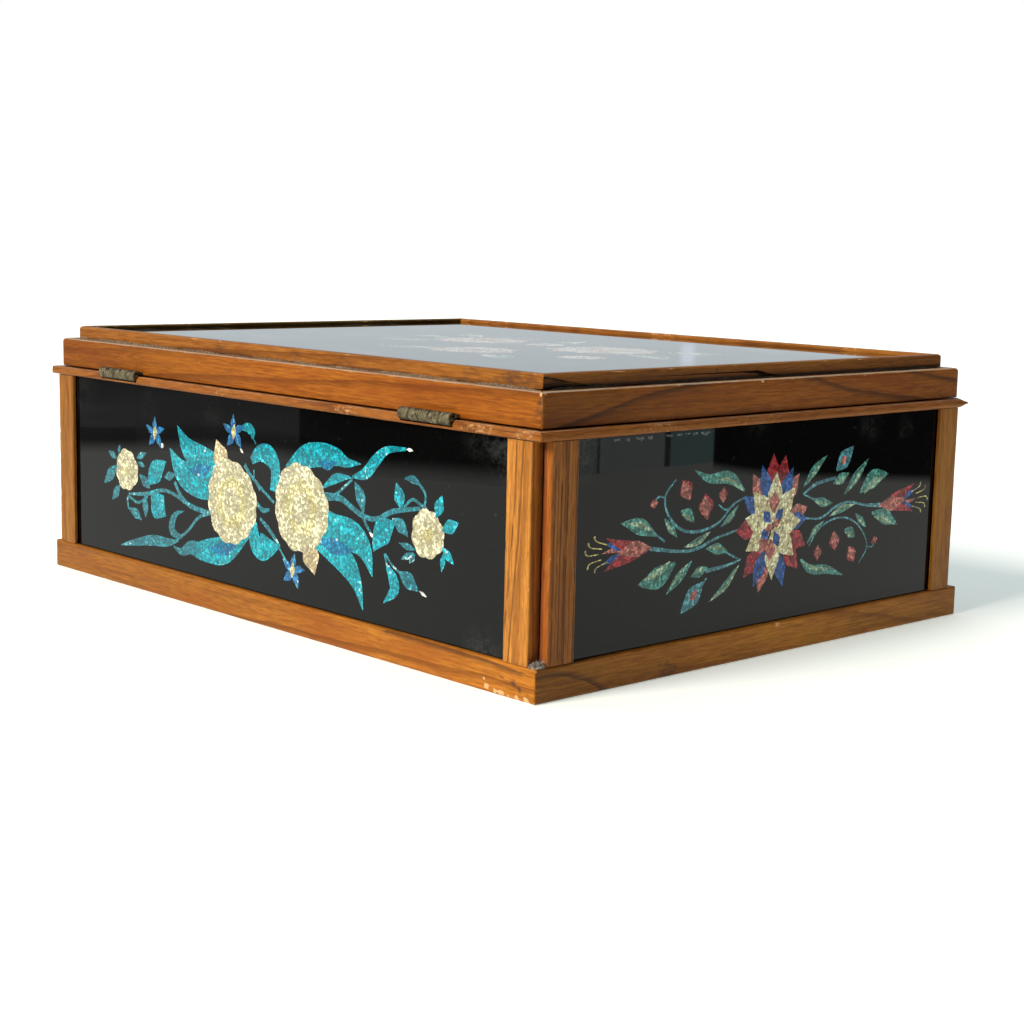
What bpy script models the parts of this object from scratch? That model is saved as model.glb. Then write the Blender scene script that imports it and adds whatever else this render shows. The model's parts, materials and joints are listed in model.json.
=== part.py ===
"""Trinket box of wooden strips around painted glass panes, with a hinged glass lid.

Metres, +Z up. The origin is on the underside, at the middle of the box. The two brass
hinges are on the side that faces -Y, and the lid opens from the side that faces +Y.
"""

import math

import bmesh
import bpy
from mathutils import Vector

# Body, over the outer faces of the corner stiles
BOX_LENGTH = 0.2541
BOX_WIDTH = 0.1956
BASE_HEIGHT = 0.0097
STILE_HEIGHT = 0.0600
LEDGE_HEIGHT = 0.0028
BASE_PROUD = 0.00015
LEDGE_PROUD = 0.0007

# Walls, measured inwards from the stile faces
GLASS_SETBACK = 0.0015
GLASS_THICKNESS = 0.0020
BACKING_THICKNESS = 0.0025
GLASS_REBATE = 0.0030

# Corner stiles and the square notch between two of them
LONG_STILE_WIDTH = 0.0097
SHORT_STILE_WIDTH = 0.0100
NOTCH_ALONG_LENGTH = 0.0034
NOTCH_ALONG_WIDTH = 0.0044

# Bottom board, let into the base rails from below
BOTTOM_THICKNESS = 0.0035
BOTTOM_REBATE = 0.0025

# Lid frame, the beads on it and the pane between them
LID_SETBACK = 0.0020
LID_RAIL_HEIGHT = 0.00975
LID_RAIL_WIDTH = 0.0132
BEAD_SETBACK = 0.0042
BEAD_WIDTH = 0.0030
BEAD_HEIGHT = 0.0041
TOP_GLASS_BELOW_BEAD = 0.0013
TOP_GLASS_THICKNESS = 0.0020
TOP_BACKING_THICKNESS = 0.0025

# Broken bead on the right end: a wedge has split off the face at its hinge end, then comes a
# crack, which ends where a sliver is lost
BREAK_LENGTH = 0.0205
BREAK_WOOD_LEFT = 0.0006
BREAK_DEPTH = 0.0013
CRACK_BELOW_TOP = 0.0021
CRACK_OPENING = 0.00035
CRACK_DEPTH = 0.0015
CRACK_FROM_END = 0.0370
CRACK_LENGTH = 0.0515
SLIVER_LENGTH = 0.0150
SLIVER_TAPER = 0.0070

# Butt hinges
HINGE_LENGTH = 0.0220
HINGE_INSET = 0.0438
BARREL_RADIUS = 0.00185
LEAF_THICKNESS = 0.0008
LEAF_REACH = 0.0040
KNUCKLES = 5
PIN_CHAMFER = 0.0002

# Worn edges
BASE_EDGE_RADIUS = 0.0006
STILE_EDGE_RADIUS = 0.0003
LEDGE_EDGE_RADIUS = 0.0009
LID_EDGE_RADIUS = 0.0007
BEAD_EDGE_RADIUS = 0.0005

FIT_GAP = 0.0003
ARC_STEPS = 3
BARREL_STEPS = 20
PIN_SIDES = 12
CUT_MARGIN = 0.001
ROLL_GAP = math.radians(15)
SHARP_ANGLE = math.radians(35)

# Heights that follow
STILE_BOTTOM = BASE_HEIGHT + FIT_GAP
LEDGE_BOTTOM = STILE_BOTTOM + STILE_HEIGHT + FIT_GAP
LEDGE_TOP = LEDGE_BOTTOM + LEDGE_HEIGHT
LID_BOTTOM = LEDGE_TOP + FIT_GAP
LID_TOP = LID_BOTTOM + LID_RAIL_HEIGHT
BEAD_BOTTOM = LID_TOP + FIT_GAP
BEAD_TOP = BEAD_BOTTOM + BEAD_HEIGHT
TOP_GLASS_BOTTOM = BEAD_TOP - TOP_GLASS_BELOW_BEAD - TOP_GLASS_THICKNESS
TOP_BACKING_BOTTOM = TOP_GLASS_BOTTOM - FIT_GAP - TOP_BACKING_THICKNESS
TOP_REBATE_FLOOR = TOP_BACKING_BOTTOM - FIT_GAP

# Depths that follow
BACKING_SETBACK = GLASS_SETBACK + GLASS_THICKNESS + FIT_GAP
WALL = BACKING_SETBACK + BACKING_THICKNESS
TOP_REBATE_EDGE = BEAD_SETBACK + BEAD_WIDTH

# Hinge axis: on the seam, just outside the lid
AXIS_Y = -(BOX_WIDTH / 2 - LID_SETBACK + FIT_GAP + BARREL_RADIUS)
AXIS_Z = (LEDGE_TOP + LID_BOTTOM) / 2
BORE_RADIUS = BARREL_RADIUS - LEAF_THICKNESS
PIN_RADIUS = BORE_RADIUS - FIT_GAP
HINGES = {
    "left": -(BOX_LENGTH / 2 - LID_SETBACK - HINGE_INSET),
    "right": BOX_LENGTH / 2 - LID_SETBACK - HINGE_INSET,
}

# Each side is the one before it turned a quarter round, anticlockwise from above
SIDES = ("hinge_side", "right_end", "opening_side", "left_end")


def clear_scene():
    for piece in list(bpy.data.objects):
        bpy.data.objects.remove(piece, do_unlink=True)


def finish(name, colour, roughness, metallic=0.0):
    material = bpy.data.materials.new(name)
    material.use_nodes = True
    shader = material.node_tree.nodes["Principled BSDF"]
    shader.inputs["Base Color"].default_value = (*colour, 1.0)
    shader.inputs["Roughness"].default_value = roughness
    shader.inputs["Metallic"].default_value = metallic
    return material


def is_long(side):
    return side in ("hinge_side", "opening_side")


def side_run(side):
    """Half of the side's length over the stile faces."""
    return (BOX_LENGTH if is_long(side) else BOX_WIDTH) / 2


def side_reach(side):
    """How far the side's stile face stands from the middle of the box."""
    return (BOX_WIDTH if is_long(side) else BOX_LENGTH) / 2


def rounded_outline(corners):
    """Points of an outline whose corners are (a, b, radius), with an arc at each round one."""
    points = []
    for index, (a, b, radius) in enumerate(corners):
        corner = Vector((a, b))
        if not radius:
            points.append(corner)
            continue
        before = Vector(corners[index - 1][:2]) - corner
        after = Vector(corners[(index + 1) % len(corners)][:2]) - corner
        half_angle = before.angle(after) / 2
        wall = min(before.length, after.length) / 2
        reach = min(radius / math.tan(half_angle), wall)
        before.normalize()
        after.normalize()
        centre = corner + (before + after).normalized() * reach / math.cos(half_angle)
        start = corner + before * reach - centre
        end = corner + after * reach - centre
        for step in range(ARC_STEPS + 1):
            turned = start.normalized().slerp(end.normalized(), step / ARC_STEPS)
            points.append(centre + turned * start.length)
    return points


def extruded(name, outline, place_start, place_end):
    """Closed mesh between two copies of an outline, each placed by its own function."""
    form = bmesh.new()
    start = form.faces.new([form.verts.new(place_start(a, b)) for a, b in outline])
    corners = [(vert, a, b) for vert, (a, b) in zip(start.verts, outline)]
    swept = bmesh.ops.extrude_face_region(form, geom=[start])["geom"]
    far = [item for item in swept if isinstance(item, bmesh.types.BMVert)]
    for vert, a, b in corners:
        twin = min(far, key=lambda other: (other.co - vert.co).length)
        far.remove(twin)
        twin.co = place_end(a, b)
    return closed_mesh(name, form)


def closed_mesh(name, form):
    bmesh.ops.recalc_face_normals(form, faces=form.faces)
    mesh = bpy.data.meshes.new(name)
    form.to_mesh(mesh)
    form.free()
    return mesh


def bar_mesh(name, outline, half_run, mitred=True):
    """Strip along local X from an outline of (depth inwards, height)."""
    trim = FIT_GAP / math.sqrt(2) if mitred else 0.0

    def end(depth):
        return half_run - trim - (depth if mitred else 0.0)

    return extruded(
        name,
        outline,
        lambda depth, height: (-end(depth), depth, height),
        lambda depth, height: (end(depth), depth, height),
    )


def box_mesh(name, low, high):
    outline = [(low[1], low[2]), (high[1], low[2]), (high[1], high[2]), (low[1], high[2])]
    return extruded(
        name,
        outline,
        lambda y, z: (low[0], y, z),
        lambda y, z: (high[0], y, z),
    )


def upright_mesh(name, outline, height):
    """Post along local Z from a plan outline of (along, depth)."""
    return extruded(
        name,
        outline,
        lambda along, depth: (along, depth, 0.0),
        lambda along, depth: (along, depth, height),
    )


def add_piece(name, mesh, material, holder, location=(0.0, 0.0, 0.0), turn=0.0):
    """Object for a mesh, hung on the empty that its body turns with."""
    piece = bpy.data.objects.new(name, mesh)
    bpy.context.scene.collection.objects.link(piece)
    if material and not mesh.materials:
        mesh.materials.append(material)
        smooth_round(mesh)
    piece.parent = holder
    piece.location = Vector(location) - holder.location
    piece.rotation_euler.z = turn
    return piece


def add_on_side(name, mesh, material, holder, side, setback, height):
    """Piece whose local -Y face stands at a setback behind one side's stile face."""
    turn = SIDES.index(side) * math.pi / 2
    reach = side_reach(side) - setback
    location = (reach * math.sin(turn), -reach * math.cos(turn), height)
    return add_piece(name, mesh, material, holder, location, turn)


def add_holder(name, location):
    holder = bpy.data.objects.new(name, None)
    bpy.context.scene.collection.objects.link(holder)
    holder.location = location
    return holder


def cut(piece, cutter):
    cutter.hide_render = True
    cutter.display_type = "WIRE"
    modifier = piece.modifiers.new(cutter.name, "BOOLEAN")
    modifier.operation = "DIFFERENCE"
    modifier.object = cutter


def smooth_round(mesh):
    mesh.shade_smooth()
    mesh.set_sharp_from_angle(angle=SHARP_ANGLE)


def add_base(body, wood, board):
    """Four mitred rails with the bottom board let in flush from below."""
    width = WALL + BASE_PROUD
    rebate_edge = width - BOTTOM_REBATE
    rebate_top = BOTTOM_THICKNESS + FIT_GAP
    outline = rounded_outline(
        [
            (0.0, 0.0, BASE_EDGE_RADIUS),
            (0.0, BASE_HEIGHT, BASE_EDGE_RADIUS),
            (width, BASE_HEIGHT, 0.0),
            (width, rebate_top, 0.0),
            (rebate_edge, rebate_top, 0.0),
            (rebate_edge, 0.0, 0.0),
        ]
    )
    for side in SIDES:
        name = f"base_rail_{side}"
        mesh = bar_mesh(name, outline, side_run(side) + BASE_PROUD)
        add_on_side(name, mesh, wood, body, side, -BASE_PROUD, 0.0)
    half_length = BOX_LENGTH / 2 + BASE_PROUD - rebate_edge - FIT_GAP
    half_width = BOX_WIDTH / 2 + BASE_PROUD - rebate_edge - FIT_GAP
    low = (-half_length, -half_width, 0.0)
    high = (half_length, half_width, BOTTOM_THICKNESS)
    add_piece("bottom_board", box_mesh("bottom_board", low, high), board, body)


def stile_outline(side):
    """Plan of one stile, from the pane's edge (along 0) to the corner notch."""
    if is_long(side):
        width, notch_run, notch_depth = LONG_STILE_WIDTH, NOTCH_ALONG_LENGTH, NOTCH_ALONG_WIDTH
    else:
        width, notch_run, notch_depth = SHORT_STILE_WIDTH, NOTCH_ALONG_WIDTH, NOTCH_ALONG_LENGTH
    # The two stiles of a corner meet on the line from the notch's corner to the room's corner
    mitre_run = WALL - notch_run
    mitre_depth = WALL - notch_depth
    mitre = math.hypot(mitre_run, mitre_depth)
    notch_trim = FIT_GAP / 2 * mitre / mitre_run
    inner_trim = FIT_GAP / 2 * mitre / mitre_depth
    lip = GLASS_SETBACK - FIT_GAP
    return rounded_outline(
        [
            (0.0, 0.0, STILE_EDGE_RADIUS),
            (width, 0.0, STILE_EDGE_RADIUS),
            (width, notch_depth - notch_trim, 0.0),
            (width - mitre_run - inner_trim, WALL, 0.0),
            (GLASS_REBATE, WALL, 0.0),
            (GLASS_REBATE, lip, 0.0),
            (0.0, lip, 0.0),
        ]
    )


def pane_half(side):
    """Half of the pane's width that shows between its two stiles."""
    if is_long(side):
        return side_run(side) - NOTCH_ALONG_LENGTH - LONG_STILE_WIDTH
    return side_run(side) - NOTCH_ALONG_WIDTH - SHORT_STILE_WIDTH


def add_walls(body, wood, glass, board):
    """On each side two stiles, and in their rebates a painted pane and its backing board."""
    ends = {
        "hinge_side": ("left", "right"),
        "right_end": ("hinge", "opening"),
        "opening_side": ("right", "left"),
        "left_end": ("opening", "hinge"),
    }
    for side in SIDES:
        outline = stile_outline(side)
        for end, hand in zip(ends[side], (-1, 1)):
            name = f"stile_{side}_{end}"
            placed = [(hand * (pane_half(side) + along), depth) for along, depth in outline]
            mesh = upright_mesh(name, placed, STILE_HEIGHT)
            add_on_side(name, mesh, wood, body, side, 0.0, STILE_BOTTOM)
        half = pane_half(side) + GLASS_REBATE - FIT_GAP
        for name, material, setback, thickness in (
            (f"glass_{side}", glass, GLASS_SETBACK, GLASS_THICKNESS),
            (f"backing_{side}", board, BACKING_SETBACK, BACKING_THICKNESS),
        ):
            mesh = box_mesh(name, (-half, 0.0, 0.0), (half, thickness, STILE_HEIGHT))
            add_on_side(name, mesh, material, body, side, setback, STILE_BOTTOM)


def add_ledge(body, wood):
    """Thin mitred moulding on top of the walls, with a round nose, cut away at the hinges."""
    width = LEDGE_PROUD + WALL
    outline = rounded_outline(
        [
            (0.0, 0.0, LEDGE_EDGE_RADIUS),
            (0.0, LEDGE_HEIGHT, LEDGE_EDGE_RADIUS),
            (width, LEDGE_HEIGHT, 0.0),
            (width, 0.0, 0.0),
        ]
    )
    for side in SIDES:
        name = f"ledge_{side}"
        mesh = bar_mesh(name, outline, side_run(side) + LEDGE_PROUD)
        ledge = add_on_side(name, mesh, wood, body, side, -LEDGE_PROUD, LEDGE_BOTTOM)
        if side == "hinge_side":
            for hand, middle in HINGES.items():
                cut(ledge, add_ledge_recess(body, hand, middle))


def add_ledge_recess(body, hand, middle):
    """Cutter for the barrel's trough and, behind it, the shallow bed of the lower leaf."""
    trough_edge = BARREL_RADIUS + FIT_GAP
    leaf_edge = trough_edge + LEAF_REACH + FIT_GAP
    front = trough_edge - LID_SETBACK - LEDGE_PROUD - CUT_MARGIN
    trough_floor = -trough_edge
    bed_floor = -FIT_GAP / 2 - LEAF_THICKNESS - FIT_GAP
    outline = [
        (front, CUT_MARGIN),
        (front, trough_floor),
        (trough_edge, trough_floor),
        (trough_edge, bed_floor),
        (leaf_edge, bed_floor),
        (leaf_edge, CUT_MARGIN),
    ]
    mesh = bar_mesh("ledge_recess", outline, HINGE_LENGTH / 2 + FIT_GAP, mitred=False)
    return add_piece(f"cut_ledge_{hand}", mesh, None, body, (middle, AXIS_Y, AXIS_Z))


def add_lid_frame(lid, wood, board, glass):
    """Mitred lid rails, the beads that frame the top pane, the pane and its backing board."""
    rebate_floor = TOP_REBATE_FLOOR - LID_BOTTOM
    rail = rounded_outline(
        [
            (0.0, 0.0, STILE_EDGE_RADIUS),
            (0.0, LID_RAIL_HEIGHT, LID_EDGE_RADIUS),
            (TOP_REBATE_EDGE, LID_RAIL_HEIGHT, 0.0),
            (TOP_REBATE_EDGE, rebate_floor, 0.0),
            (LID_RAIL_WIDTH, rebate_floor, 0.0),
            (LID_RAIL_WIDTH, 0.0, 0.0),
        ]
    )
    bead = rounded_outline(
        [
            (0.0, 0.0, 0.0),
            (0.0, BEAD_HEIGHT, BEAD_EDGE_RADIUS),
            (BEAD_WIDTH, BEAD_HEIGHT, BEAD_EDGE_RADIUS),
            (BEAD_WIDTH, 0.0, 0.0),
        ]
    )
    for side in SIDES:
        name = f"lid_rail_{side}"
        mesh = bar_mesh(name, rail, side_run(side) - LID_SETBACK)
        lid_rail = add_on_side(name, mesh, wood, lid, side, LID_SETBACK, LID_BOTTOM)
        if side == "hinge_side":
            for hand, middle in HINGES.items():
                cut(lid_rail, add_lid_recess(lid, hand, middle))
        name = f"bead_{side}"
        setback = LID_SETBACK + BEAD_SETBACK
        mesh = bar_mesh(name, bead, side_run(side) - setback)
        piece = add_on_side(name, mesh, wood, lid, side, setback, BEAD_BOTTOM)
        if side == "right_end":
            break_bead(piece, lid, side, setback)
    edge = LID_SETBACK + TOP_REBATE_EDGE + FIT_GAP
    half_length = BOX_LENGTH / 2 - edge
    half_width = BOX_WIDTH / 2 - edge
    for name, material, bottom, thickness in (
        ("glass_top", glass, TOP_GLASS_BOTTOM, TOP_GLASS_THICKNESS),
        ("backing_top", board, TOP_BACKING_BOTTOM, TOP_BACKING_THICKNESS),
    ):
        low = (-half_length, -half_width, 0.0)
        high = (half_length, half_width, thickness)
        add_piece(name, box_mesh(name, low, high), material, lid, (0.0, 0.0, bottom))


def add_lid_recess(lid, hand, middle):
    """Cutter for the bed of the upper leaf in the underside of the lid rail."""
    half = HINGE_LENGTH / 2 + FIT_GAP
    back = BARREL_RADIUS + FIT_GAP
    low = (-half, back - CUT_MARGIN, -CUT_MARGIN)
    high = (half, back + LEAF_REACH + FIT_GAP, FIT_GAP / 2 + LEAF_THICKNESS + FIT_GAP)
    mesh = box_mesh("lid_recess", low, high)
    return add_piece(f"cut_lid_{hand}", mesh, None, lid, (middle, AXIS_Y, AXIS_Z))


def break_bead(piece, lid, side, setback):
    """Cut the lost wedge, the crack and the lost sliver out of the damaged bead."""
    end = -(side_run(side) - setback)
    slope = (BEAD_HEIGHT - BREAK_WOOD_LEFT) / BREAK_LENGTH
    start = end - CUT_MARGIN
    wedge = [
        (start, -CUT_MARGIN),
        (start, BEAD_HEIGHT - BREAK_WOOD_LEFT + slope * CUT_MARGIN),
        (end + BREAK_LENGTH + CUT_MARGIN / slope, -CUT_MARGIN),
    ]
    crack_top = BEAD_HEIGHT - CRACK_BELOW_TOP
    crack_start = end + CRACK_FROM_END
    crack_end = crack_start + CRACK_LENGTH
    crack = [
        (crack_start, crack_top - CRACK_OPENING / 2),
        (crack_end, crack_top),
        (crack_end + SLIVER_LENGTH, -CUT_MARGIN),
        (crack_end, -CUT_MARGIN),
        (crack_end, crack_top / 2),
        (crack_end - SLIVER_TAPER, crack_top - CRACK_OPENING),
    ]
    for name, outline, depth in (
        ("cut_bead_wedge", wedge, BREAK_DEPTH),
        ("cut_bead_crack", crack, CRACK_DEPTH),
    ):
        mesh = extruded(
            name,
            outline,
            lambda along, height: (along, -CUT_MARGIN, height),
            lambda along, height, depth=depth: (along, depth, height),
        )
        cut(piece, add_on_side(name, mesh, None, lid, side, setback, BEAD_BOTTOM))


def knuckle_section(hand):
    """Rolled end of a leaf in (Y, Z) about the pin: outer arc out, inner arc back to the leaf.

    hand is -1 for the lower leaf and 1 for the upper one, whose section is the mirror image.
    """
    face = FIT_GAP / 2
    outer_start = math.asin((face + LEAF_THICKNESS) / BARREL_RADIUS)
    inner_end = math.asin(face / BORE_RADIUS)
    roll_end = 2 * math.pi - ROLL_GAP
    section = []
    for step in range(BARREL_STEPS + 1):
        angle = outer_start + (roll_end - outer_start) * step / BARREL_STEPS
        section.append((BARREL_RADIUS * math.cos(angle), BARREL_RADIUS * math.sin(angle)))
    for step in range(BARREL_STEPS + 1):
        angle = roll_end + (inner_end - roll_end) * step / BARREL_STEPS
        section.append((BORE_RADIUS * math.cos(angle), BORE_RADIUS * math.sin(angle)))
    return [(y, hand * z) for y, z in section]


def leaf_mesh(name, hand, knuckles):
    """Flat leaf with rolled knuckles along its edge, as one closed mesh.

    The edge is divided at every knuckle, so a knuckle's end faces share the leaf's edge.
    """
    near = BARREL_RADIUS + FIT_GAP
    far = near + LEAF_REACH
    face = FIT_GAP / 2
    levels = (hand * face, hand * (face + LEAF_THICKNESS))
    pitch = (HINGE_LENGTH + FIT_GAP) / KNUCKLES
    lows = [-HINGE_LENGTH / 2 + pitch * k for k in knuckles]
    highs = [low + pitch - FIT_GAP for low in lows]
    stations = [-HINGE_LENGTH / 2] + [x for span in zip(lows, highs) for x in span] + [HINGE_LENGTH / 2]
    stations = [x for k, x in enumerate(stations) if not k or x - stations[k - 1] > FIT_GAP / 2]
    form = bmesh.new()

    def row(y, z):
        return [form.verts.new((x, y, z)) for x in stations]

    near_face, near_back = (row(near, z) for z in levels)
    far_face, far_back = (row(far, z) for z in levels)
    form.faces.new(near_face + far_face[::-1])
    form.faces.new(near_back + far_back[::-1])
    form.faces.new(far_face + far_back[::-1])
    for end in (0, -1):
        form.faces.new((near_face[end], far_face[end], far_back[end], near_back[end]))
    starts = [stations.index(low) for low in lows]
    section = knuckle_section(hand)
    for index in range(len(stations) - 1):
        root = [near_back[index], near_face[index]]
        next_root = [near_back[index + 1], near_face[index + 1]]
        if index not in starts:
            form.faces.new(root + next_root[::-1])
            continue
        here, there = (
            [pair[0]] + [form.verts.new((x, y, z)) for y, z in section] + [pair[1]]
            for pair, x in ((root, stations[index]), (next_root, stations[index + 1]))
        )
        form.faces.new(here)
        form.faces.new(there[::-1])
        for k in range(len(here) - 1):
            form.faces.new((here[k], here[k + 1], there[k + 1], there[k]))
    return closed_mesh(name, form)


def pin_mesh(name):
    """Pin along local X with slightly rounded ends, turned from rings of (x, radius)."""
    half = HINGE_LENGTH / 2
    rings = (
        (-half, PIN_RADIUS - PIN_CHAMFER),
        (-half + PIN_CHAMFER, PIN_RADIUS),
        (half - PIN_CHAMFER, PIN_RADIUS),
        (half, PIN_RADIUS - PIN_CHAMFER),
    )
    form = bmesh.new()
    loops = []
    for x, radius in rings:
        turns = (2 * math.pi * step / PIN_SIDES for step in range(PIN_SIDES))
        loops.append([form.verts.new((x, radius * math.cos(a), radius * math.sin(a))) for a in turns])
    for here, there in zip(loops, loops[1:]):
        for k in range(PIN_SIDES):
            form.faces.new((here[k - 1], here[k], there[k], there[k - 1]))
    form.faces.new(loops[0])
    form.faces.new(loops[-1])
    return closed_mesh(name, form)


def add_hinges(body, lid, brass):
    """Two butt hinges whose barrels lie along the seam, outside the lid."""
    lower = leaf_mesh("lower_leaf", -1, range(0, KNUCKLES, 2))
    upper = leaf_mesh("upper_leaf", 1, range(1, KNUCKLES, 2))
    pin = pin_mesh("hinge_pin")
    for hand, middle in HINGES.items():
        place = (middle, AXIS_Y, AXIS_Z)
        for part, mesh, holder in (
            ("lower_leaf", lower, body),
            ("pin", pin, body),
            ("upper_leaf", upper, lid),
        ):
            add_piece(f"hinge_{hand}_{part}", mesh, brass, holder, place)


def main():
    clear_scene()
    wood = finish("orange_brown_wood", (0.42, 0.18, 0.06), 0.45)
    board = finish("plain_board", (0.36, 0.25, 0.15), 0.8)
    glass = finish("black_painted_glass", (0.01, 0.01, 0.01), 0.05)
    brass = finish("aged_brass", (0.30, 0.25, 0.14), 0.5, 1.0)
    body = add_holder("body", (0.0, 0.0, 0.0))
    lid = add_holder("lid_on_hinge_axis", (0.0, AXIS_Y, AXIS_Z))
    add_base(body, wood, board)
    add_walls(body, wood, glass, board)
    add_ledge(body, wood)
    add_lid_frame(lid, wood, board, glass)
    add_hinges(body, lid, brass)


main()
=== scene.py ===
"""Dresses the trinket box: worn wood, painted glass over crinkled foil, old hinges and dust.

Metres, +Z up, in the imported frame. A side is seen as one faces it: "along" runs from its
left to its right, "in" runs from its outer face into the box, and "up" is up.
"""

import json
import math
import random
from collections import namedtuple

import bmesh
import bpy
from bpy.props import FloatProperty, FloatVectorProperty, IntProperty, PointerProperty
from mathutils import Matrix, Vector, noise
from mathutils.geometry import delaunay_2d_cdt, intersect_point_line

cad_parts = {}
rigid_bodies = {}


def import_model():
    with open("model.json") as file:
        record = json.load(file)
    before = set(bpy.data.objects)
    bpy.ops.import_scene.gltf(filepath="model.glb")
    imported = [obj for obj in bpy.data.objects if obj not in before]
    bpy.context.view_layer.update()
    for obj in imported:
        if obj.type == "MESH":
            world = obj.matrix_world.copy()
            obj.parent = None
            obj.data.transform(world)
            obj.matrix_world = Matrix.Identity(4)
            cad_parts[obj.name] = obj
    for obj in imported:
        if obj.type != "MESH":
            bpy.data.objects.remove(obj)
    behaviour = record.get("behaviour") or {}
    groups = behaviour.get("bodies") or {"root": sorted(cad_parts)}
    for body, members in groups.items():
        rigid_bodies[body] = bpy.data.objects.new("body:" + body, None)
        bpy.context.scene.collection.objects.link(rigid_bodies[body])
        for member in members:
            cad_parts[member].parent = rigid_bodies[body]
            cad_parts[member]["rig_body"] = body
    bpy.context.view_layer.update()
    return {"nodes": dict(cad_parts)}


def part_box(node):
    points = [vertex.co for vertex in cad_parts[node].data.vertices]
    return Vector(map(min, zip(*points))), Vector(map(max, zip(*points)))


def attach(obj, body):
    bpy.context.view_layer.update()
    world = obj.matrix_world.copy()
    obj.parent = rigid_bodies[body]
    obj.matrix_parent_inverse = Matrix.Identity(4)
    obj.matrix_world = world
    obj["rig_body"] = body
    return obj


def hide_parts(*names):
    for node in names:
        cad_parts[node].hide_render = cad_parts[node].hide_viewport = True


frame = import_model()

bl_info = {
    "name": "Trinket Box Finish",
    "version": (1, 0, 0),
    "blender": (4, 5, 0),
    "location": "View3D > Sidebar > Trinket Box",
    "description": "Dresses a hinged box: worn wood, foil flowers under glass, old brass and dust",
    "category": "Object",
}

MM = 0.001

# Each side is the one before it turned a quarter round, anticlockwise from above
SIDES = ("hinge_side", "right_end", "opening_side", "left_end")

# The side whose bead is broken
BROKEN_SIDE = "right_end"

# The corner stiles, and the parts of both hinges
STILES = (
    "stile_hinge_side_left",
    "stile_hinge_side_right",
    "stile_right_end_hinge",
    "stile_right_end_opening",
    "stile_opening_side_right",
    "stile_opening_side_left",
    "stile_left_end_opening",
    "stile_left_end_hinge",
)
HINGE_PARTS = (
    "hinge_left_lower_leaf",
    "hinge_right_lower_leaf",
    "hinge_left_upper_leaf",
    "hinge_right_upper_leaf",
    "hinge_left_pin",
    "hinge_right_pin",
)

# Points nearer than this are one point, faces at less than the flat angle are one face, and
# edges above the sharp angle stay sharp where the rest is shaded smooth
WELD = 2e-5
FLAT_ANGLE = math.radians(0.5)
SHARP_ANGLE = math.radians(42)

# The gap that is left between two solids that touch
TRIMMED = 0.3 * MM

# The way into a strip from each of its faces
INWARD = {
    "front": Vector((0, 1, 0)),
    "back": Vector((0, -1, 0)),
    "bottom": Vector((0, 0, 1)),
    "top": Vector((0, 0, -1)),
    "left": Vector((1, 0, 0)),
    "right": Vector((-1, 0, 0)),
}


def length(name, description, default):
    """A property that holds a length."""
    settings = {"min": 0.0, "unit": "LENGTH", "precision": 5}
    return FloatProperty(name=name, description=description, default=default, **settings)


def colour(name, description, default):
    """A property that holds a colour."""
    settings = {"min": 0.0, "max": 1.0, "size": 3, "subtype": "COLOR"}
    return FloatVectorProperty(name=name, description=description, default=default, **settings)


class TrinketBoxSizes(bpy.types.PropertyGroup):
    """Sizes of the wear, the grain, the foil and the dust"""

    cell_along: length("Cell along", "Length of a mesh cell along a strip of wood", 1.1 * MM)
    cell_across: length("Cell across", "Width of a mesh cell across a strip of wood", 0.9 * MM)
    rim: length("Rim", "Width of the mesh cells next to an edge", 0.35 * MM)
    seam: length("Seam", "Gap left between two strips that touch", 0.05 * MM)
    unevenness: length("Unevenness", "How deep the hollows in a planed face are", 0.06 * MM)
    arris_reach: length("Arris reach", "How far from an edge the rubbing reaches", 0.55 * MM)
    arris_depth: length("Arris depth", "How much is rubbed off an edge", 0.14 * MM)
    chip_depth: length("Chip depth", "How deep the chips in an edge are", 0.25 * MM)
    pore: length("Pore", "Width of a pore in the wood", 0.30 * MM)
    facet: length("Facet", "Width of a crease facet in the foil", 0.75 * MM)
    fibre: length("Fibre", "Thickness of a fibre of dust", 0.13 * MM)
    fibres: IntProperty(
        name="Fibres", description="Fibres in the largest tuft of dust", default=170, min=1
    )


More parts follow.
